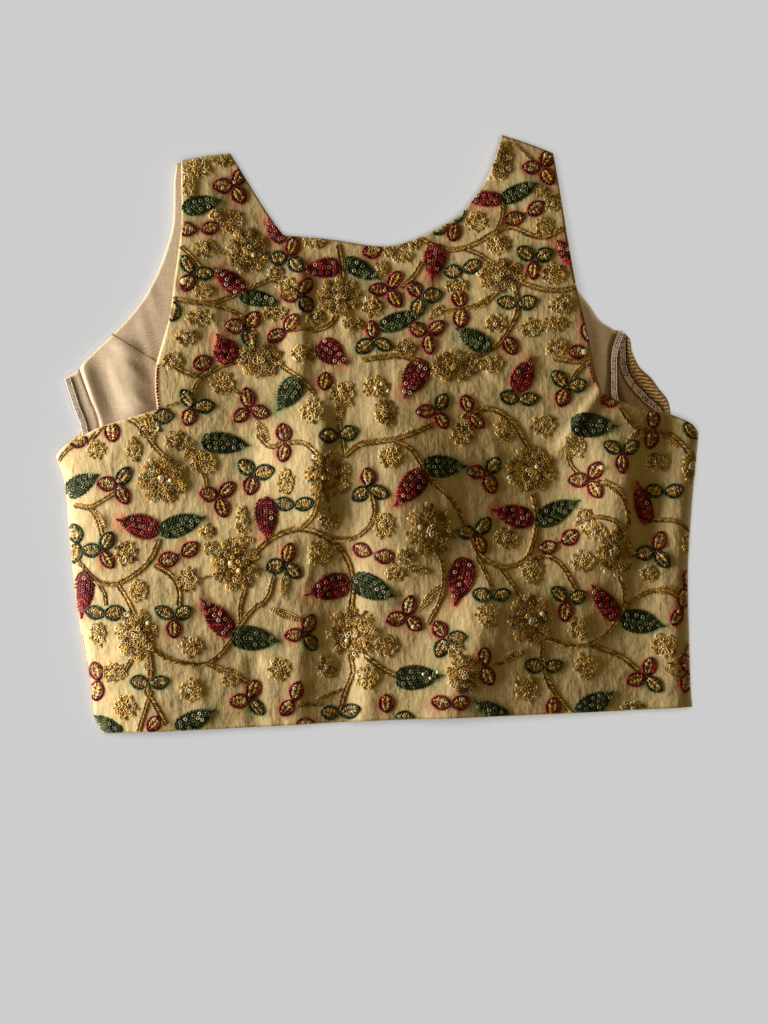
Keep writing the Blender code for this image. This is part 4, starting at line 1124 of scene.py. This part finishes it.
def back_silk():
    """The back panel, flat on the surface, with softly rounded edges."""
    tucked, tuck_foot, tuck_fade, tuck_top, spacing = BACK_LEFT_ARMHOLE[::-1], 190.0, 22.0, 240.0, 2.5
    outline = []
    for edge in (HEM, RIGHT_SIDE, BACK_RIGHT_ARMHOLE, BACK_NECK[::-1], tucked, LEFT_SIDE[::-1]):
        for point in along(edge, even(max(1, round(curve_length(edge) / spacing)))):
            if edge is tucked:
                under = curve_x(LEFT_OVERLOCK, point[1]) + 0.8
                share = ease((point[1] - tuck_foot) / tuck_fade) * (point[1] < tuck_top)
                point = point + np.array([share * max(0.0, under - point[0]), 0.0])
            if not outline or np.linalg.norm(point - outline[-1]) > 0.5:
                outline.append(point)
    outline = np.array(outline[:-1])
    way = np.roll(outline, -1, axis=0) - np.roll(outline, 1, axis=0)
    way = way / np.linalg.norm(way, axis=1)[:, None]
    inward = np.column_stack([-way[:, 1], way[:, 0]])
    count = len(outline)
    rings = [np.column_stack([outline + inset * inward, np.full(count, z)])
             for inset, z in ((0.4, 0.0), (0.08, 0.25), (0.0, 0.6), (0.08, 0.95), (0.4, BACK_TOP))]
    here = np.arange(count)
    after = np.roll(here, -1)
    band = np.column_stack([here, after, after + count, here + count])
    faces = [here[::-1].tolist(), (here + 4 * count).tolist()]
    faces += np.vstack([band + k * count for k in range(4)]).tolist()
    cloth = silk("back_silk_cloth", (0.66, 0.50, 0.250), (0.42, 0.295, 0.125))
    return mesh_piece("back_silk", np.vstack(rings), faces, cloth, smooth=False)


def level_rows(left, right, shares):
    """Points on two falling curves at the same heights, from the lower top to the higher foot."""
    curves = [smooth_curve(left)[::-1], smooth_curve(right)[::-1]]
    top, foot = min(curve[-1, 1] for curve in curves), max(curve[0, 1] for curve in curves)
    y = top + (foot - top) * shares
    return [np.column_stack([np.interp(y, curve[:, 1], curve[:, 0]), y]) for curve in curves]


def strip(left, right, base, columns, rows=90, ribs=None):
    """Points and faces of a strip between two edges, as in the solids but finer."""
    upwards = even(rows)
    start, end = level_rows(left, right, upwards) if ribs else (along(left, upwards), along(right, upwards))
    shares, heights = np.array(columns).T
    grid = (start[:, None] + (end - start)[:, None] * shares[None, :, None])[::-1]
    top = np.broadcast_to(base + heights, grid.shape[:2])
    if ribs:
        top = top + ribs(np.arange(rows + 1)[:, None], shares[None])
    tops = dict(zip(grid_keys(grid), top[::-1].reshape(-1)))

    def faces_of(points):
        z = [tops[key] for key in grid_keys(points)]
        return np.column_stack([points, z]), np.column_stack([points, np.full(len(points), base)])

    return shell([grid], faces_of)[:2]


def shifted(points, aside):
    return [(x + aside, y) for x, y in points]


def beside(points, gap, foot):
    """The part of a falling curve above the height foot, moved to its left hand side by gap."""
    curve = smooth_curve(points, 3)
    return (curve + gap * headings(curve)[1])[curve[:, 1] >= foot]


def serging(name, dice, level, path, foot, pale, deep, speckled, material):
    """Overlock stitches along a falling edge: slanting loops over it and a chain on each side."""
    stitches = Stitches(name, None, lambda x, y: np.full_like(x, level))
    curve = smooth_curve(path, 20)
    curve = curve[curve[:, 1] >= foot]
    many = int(curve_length(curve) / SERGING_STEP) + 1
    at = along(curve, even(many - 1))
    turn, side = headings(at)
    for sign in (-1, 1):
        tint = colours(dice, many, (pale, 6), (deep, 2.5))
        stitches.add(RIDGE, at, turn + math.pi / 2 + sign * 0.42, (SERGING_WIDTH, 0.72, 0.70), tint, 0.1)
        edge = at + side * (0.46 * SERGING_WIDTH * sign)
        stitches.add(RIDGE, edge, turn, (1.7, 0.85, 0.85), colours(dice, many, (pale, 6), (deep, 1)), 0.15)
    specks = at[:-1] + side[:-1] * dice.uniform(-0.25, 0.25, (many - 1, 1)) * SERGING_WIDTH
    kept = dice.uniform(0, 1, many - 1) < speckled
    stitches.add(DOME, specks[kept], 0.0, (0.42, 0.42, 0.75), (0.10, 0.06, 0.07), 0.1)
    return stitches.build(material)


def armhole_pieces():
    """The allowances in the armholes, with their overlocked edges and the ribbed strip."""
    dice = np.random.default_rng(23)
    half = 1.7
    made = {}
    for name, left, right, base, columns, material in (
        ("left_allowance", LEFT_OVERLOCK, shifted(LINING_LEFT_EDGE, -0.35), LAYER_ONE,
         [(0, 1.1), (0.1, 1.45), (0.22, 1.35), (0.34, 0.95), (0.48, 1.25), (0.6, 0.95), (0.74, 1.3),
          (0.86, 1), (1, 0.9)], lining_cotton("allowance_cotton", (0.72, 0.60, 0.49), (0.52, 0.41, 0.32))),
        ("back_allowance", shifted(BACK_OVERLOCK, -half), shifted(BACK_OVERLOCK, half), LAYER_TWO,
         [(0, 0.8), (0.3, 1.15), (0.7, 1.15), (1, 0.8)],
         lining_cotton("serged_cloth", (0.62, 0.50, 0.46), (0.40, 0.30, 0.26))),
        ("front_allowance", FRONT_OVERLOCK_LEFT, FRONT_OVERLOCK_RIGHT, LAYER_ONE,
         [(0, 0.9), (0.3, 0.95), (0.55, 0.9), (0.72, 1), (0.88, 1), (1, 0.9)],
         silk("silk_wrong_side", (0.42, 0.27, 0.14), (0.22, 0.13, 0.06))),
    ):
        made[name] = mesh_piece(name, *strip(left, right, base, columns), material)

    waves, steps, low, rise = 21, 10, 0.95, 0.75

    def ribs(row, share):
        waver = np.sin(6.0 * share + 0.05 * row) + 0.7 * np.sin(13.0 * share - 0.09 * row) - 1.2 * share
        phase = row / steps * math.tau + waver
        return rise * (0.5 - 0.5 * np.cos(phase)) * np.sin(math.pi * np.clip(share, 0.08, 0.92))

    columns = [(share, 0.9 + 0.2 * math.sin(math.pi * share)) for share in even(12)]
    left = beside(FRONT_OVERLOCK_RIGHT, 0.7, 186.0)
    points, faces = strip(left, RIBBED_RIGHT, LAYER_ONE, columns, waves * steps, ribs)
    # Painted shade: the tint darkens the cloth in the rib hollows to a deep brown and leaves the crests at
    # full colour
    high = np.clip((points[:, 2] - LAYER_ONE - low) / rise, 0, 1)[:, None]
    tints = (1 - high) * np.array([0.13, 0.08, 0.06]) + high
    gold = silk("ribbed_gold", (0.62, 0.42, 0.15), (0.36, 0.22, 0.07), True)
    made["ribbed_strip"] = mesh_piece("ribbed_strip", points, faces, gold, tints)

    cotton = thread("overlock_cotton", 0.6, 0.3)
    seam = Stitches("lining_seam", None, lining_height)
    start, end = cloth_point(113, 335), cloth_point(160, 364)
    turn = math.atan2(end[1] - start[1], end[0] - start[0])
    tint = colours(dice, 39, ((0.26, 0.15, 0.085), 1))
    seam.add(RIDGE, start + np.outer(even(38), end - start), turn, (1.9, 0.75, 0.34), tint)
    made["lining_seam"] = seam.build(cotton)
    for name, level, path, foot, pale, deep, speckled in (
        ("left_serging", LAYER_ONE + 1.3, shifted(LEFT_OVERLOCK, 1.6), 196.0, (1.0, 0.95, 0.92),
         (0.86, 0.76, 0.73), 0.0),
        ("right_back_serging", LAYER_TWO + 1.0, BACK_OVERLOCK, 203.0, (1.0, 0.92, 0.92),
         (0.60, 0.48, 0.48), 0.12),
        ("right_front_serging", LAYER_ONE + 0.95, beside(FRONT_OVERLOCK_RIGHT, -2.0, 190.0), 196.0,
         (0.86, 0.70, 0.66), (0.22, 0.13, 0.11), 0.4),
    ):
        made[name] = serging(name, dice, level, path, foot, pale, deep, speckled, cotton)
    return made


def lamp(name, place, size, power, colour, lit=(), unlit=()):
    """A soft lamp aimed at the middle, or a wide even one with no size, for all or some of the pieces."""
    light = bpy.data.lights.new(name, "AREA" if size else "SUN")
    if size:
        light.shape = "RECTANGLE"
        light.size, light.size_y = size
    else:
        light.angle = math.radians(70)
    light.energy, light.color = power, colour
    made = bpy.data.objects.new(name, light)
    made.location = place
    x, y, z = place
    made.rotation_euler = (math.atan2(math.hypot(x, y), z), 0.0, math.atan2(-y, -x) - math.pi / 2)
    bpy.context.scene.collection.objects.link(made)
    for pieces, state in ((lit, "INCLUDE"), (unlit, "EXCLUDE")):
        if pieces:
            group = bpy.data.collections.new(name + "_receivers")
            for piece in pieces:
                group.objects.link(piece)
            made.light_linking.receiver_collection = group
            for member in group.collection_objects:
                member.light_linking.link_state = state


def stage(shaded):
    """A pale floor with its own soft lamp, and a long low warm lamp on the left of the cloth."""
    grey, half, depth = (0.604, 0.604, 0.604, 1.0), 4.0, -0.0003
    mesh = bpy.data.meshes.new("floor")
    corners = [(-half, -half, depth), (half, -half, depth), (half, half, depth), (-half, half, depth)]
    mesh.from_pydata(corners, [], [(0, 1, 2, 3)])
    floor = bpy.data.objects.new("floor", mesh)
    bpy.context.scene.collection.objects.link(floor)
    mesh.materials.append(Graph("floor_paint").finish(grey, Roughness=0.95))

    world = bpy.data.worlds.new("studio")
    bpy.context.scene.world = world
    world.use_nodes = True
    tree = world.node_tree
    warm, pale = tree.nodes["Background"], tree.nodes.new("ShaderNodeBackground")
    warm.inputs["Color"].default_value, warm.inputs["Strength"].default_value = (1.0, 0.72, 0.24, 1.0), 0.13
    pale.inputs["Color"].default_value = grey
    seen, either = tree.nodes.new("ShaderNodeLightPath"), tree.nodes.new("ShaderNodeMixShader")
    for source, target in ((seen.outputs["Is Camera Ray"], either.inputs["Fac"]),
                           (warm.outputs[0], either.inputs[1]), (pale.outputs[0], either.inputs[2]),
                           (either.outputs[0], tree.nodes["World Output"].inputs["Surface"])):
        tree.links.new(source, target)
    aside = (0.56, 0.20, 0.19)
    lamp("key", (-0.95, 0.05, 0.22), (1.2, 0.2), 25.0, (1.0, 0.935, 0.835), unlit=[floor])
    lamp("floor_lamp", (0.0, 0.0, 2.6), None, 3.04, (0.899, 0.936, 1.0), lit=[floor])
    lamp("armhole_lamp", aside, (0.08, 0.08), 0.95, (1.0, 0.84, 0.66), lit=shaded)
    lamp("edge_lamp", aside, (0.08, 0.08), 0.9, (1.0, 0.90, 0.80), lit=shaded[:2])
    bpy.context.scene.view_settings.view_transform = "Standard"


def camera():
    """Straight above, turned as the cloth lies in the picture."""
    distance, sensor, seen = 1.6, 36.0, 0.6912
    view = bpy.data.cameras.new("camera")
    view.sensor_width, view.lens = sensor, sensor * distance / seen
    eye = bpy.data.objects.new("camera", view)
    eye.location = (0.0026, -0.0547, distance)
    eye.rotation_euler = (0.0, 0.0, -CHART_TURN)
    bpy.context.scene.collection.objects.link(eye)
    bpy.context.scene.camera = eye


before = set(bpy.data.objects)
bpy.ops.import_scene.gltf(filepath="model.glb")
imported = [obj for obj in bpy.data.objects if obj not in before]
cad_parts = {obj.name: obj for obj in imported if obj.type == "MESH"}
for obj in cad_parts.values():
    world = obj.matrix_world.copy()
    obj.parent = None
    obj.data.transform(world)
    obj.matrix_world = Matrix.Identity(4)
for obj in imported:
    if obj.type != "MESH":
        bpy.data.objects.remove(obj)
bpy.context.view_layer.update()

threads, placed = embroidery()
threads.append(edge_dashes())
front = front_silk(placed)
lining = back_lining()
back = back_silk()
armholes = armhole_pieces()
shaded = ("right_back_serging", "ribbed_strip", "right_front_serging", "back_allowance", "front_allowance")
stage([armholes[name] for name in shaded] + [lining])
camera()

for piece in threads + [front, lining, back] + list(armholes.values()):
    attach(piece, "root")
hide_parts("front")
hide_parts("back")
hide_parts("back_lining")
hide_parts("left_side_allowance")
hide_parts("right_back_allowance")
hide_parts("right_front_allowance")
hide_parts("right_ribbed_edge")
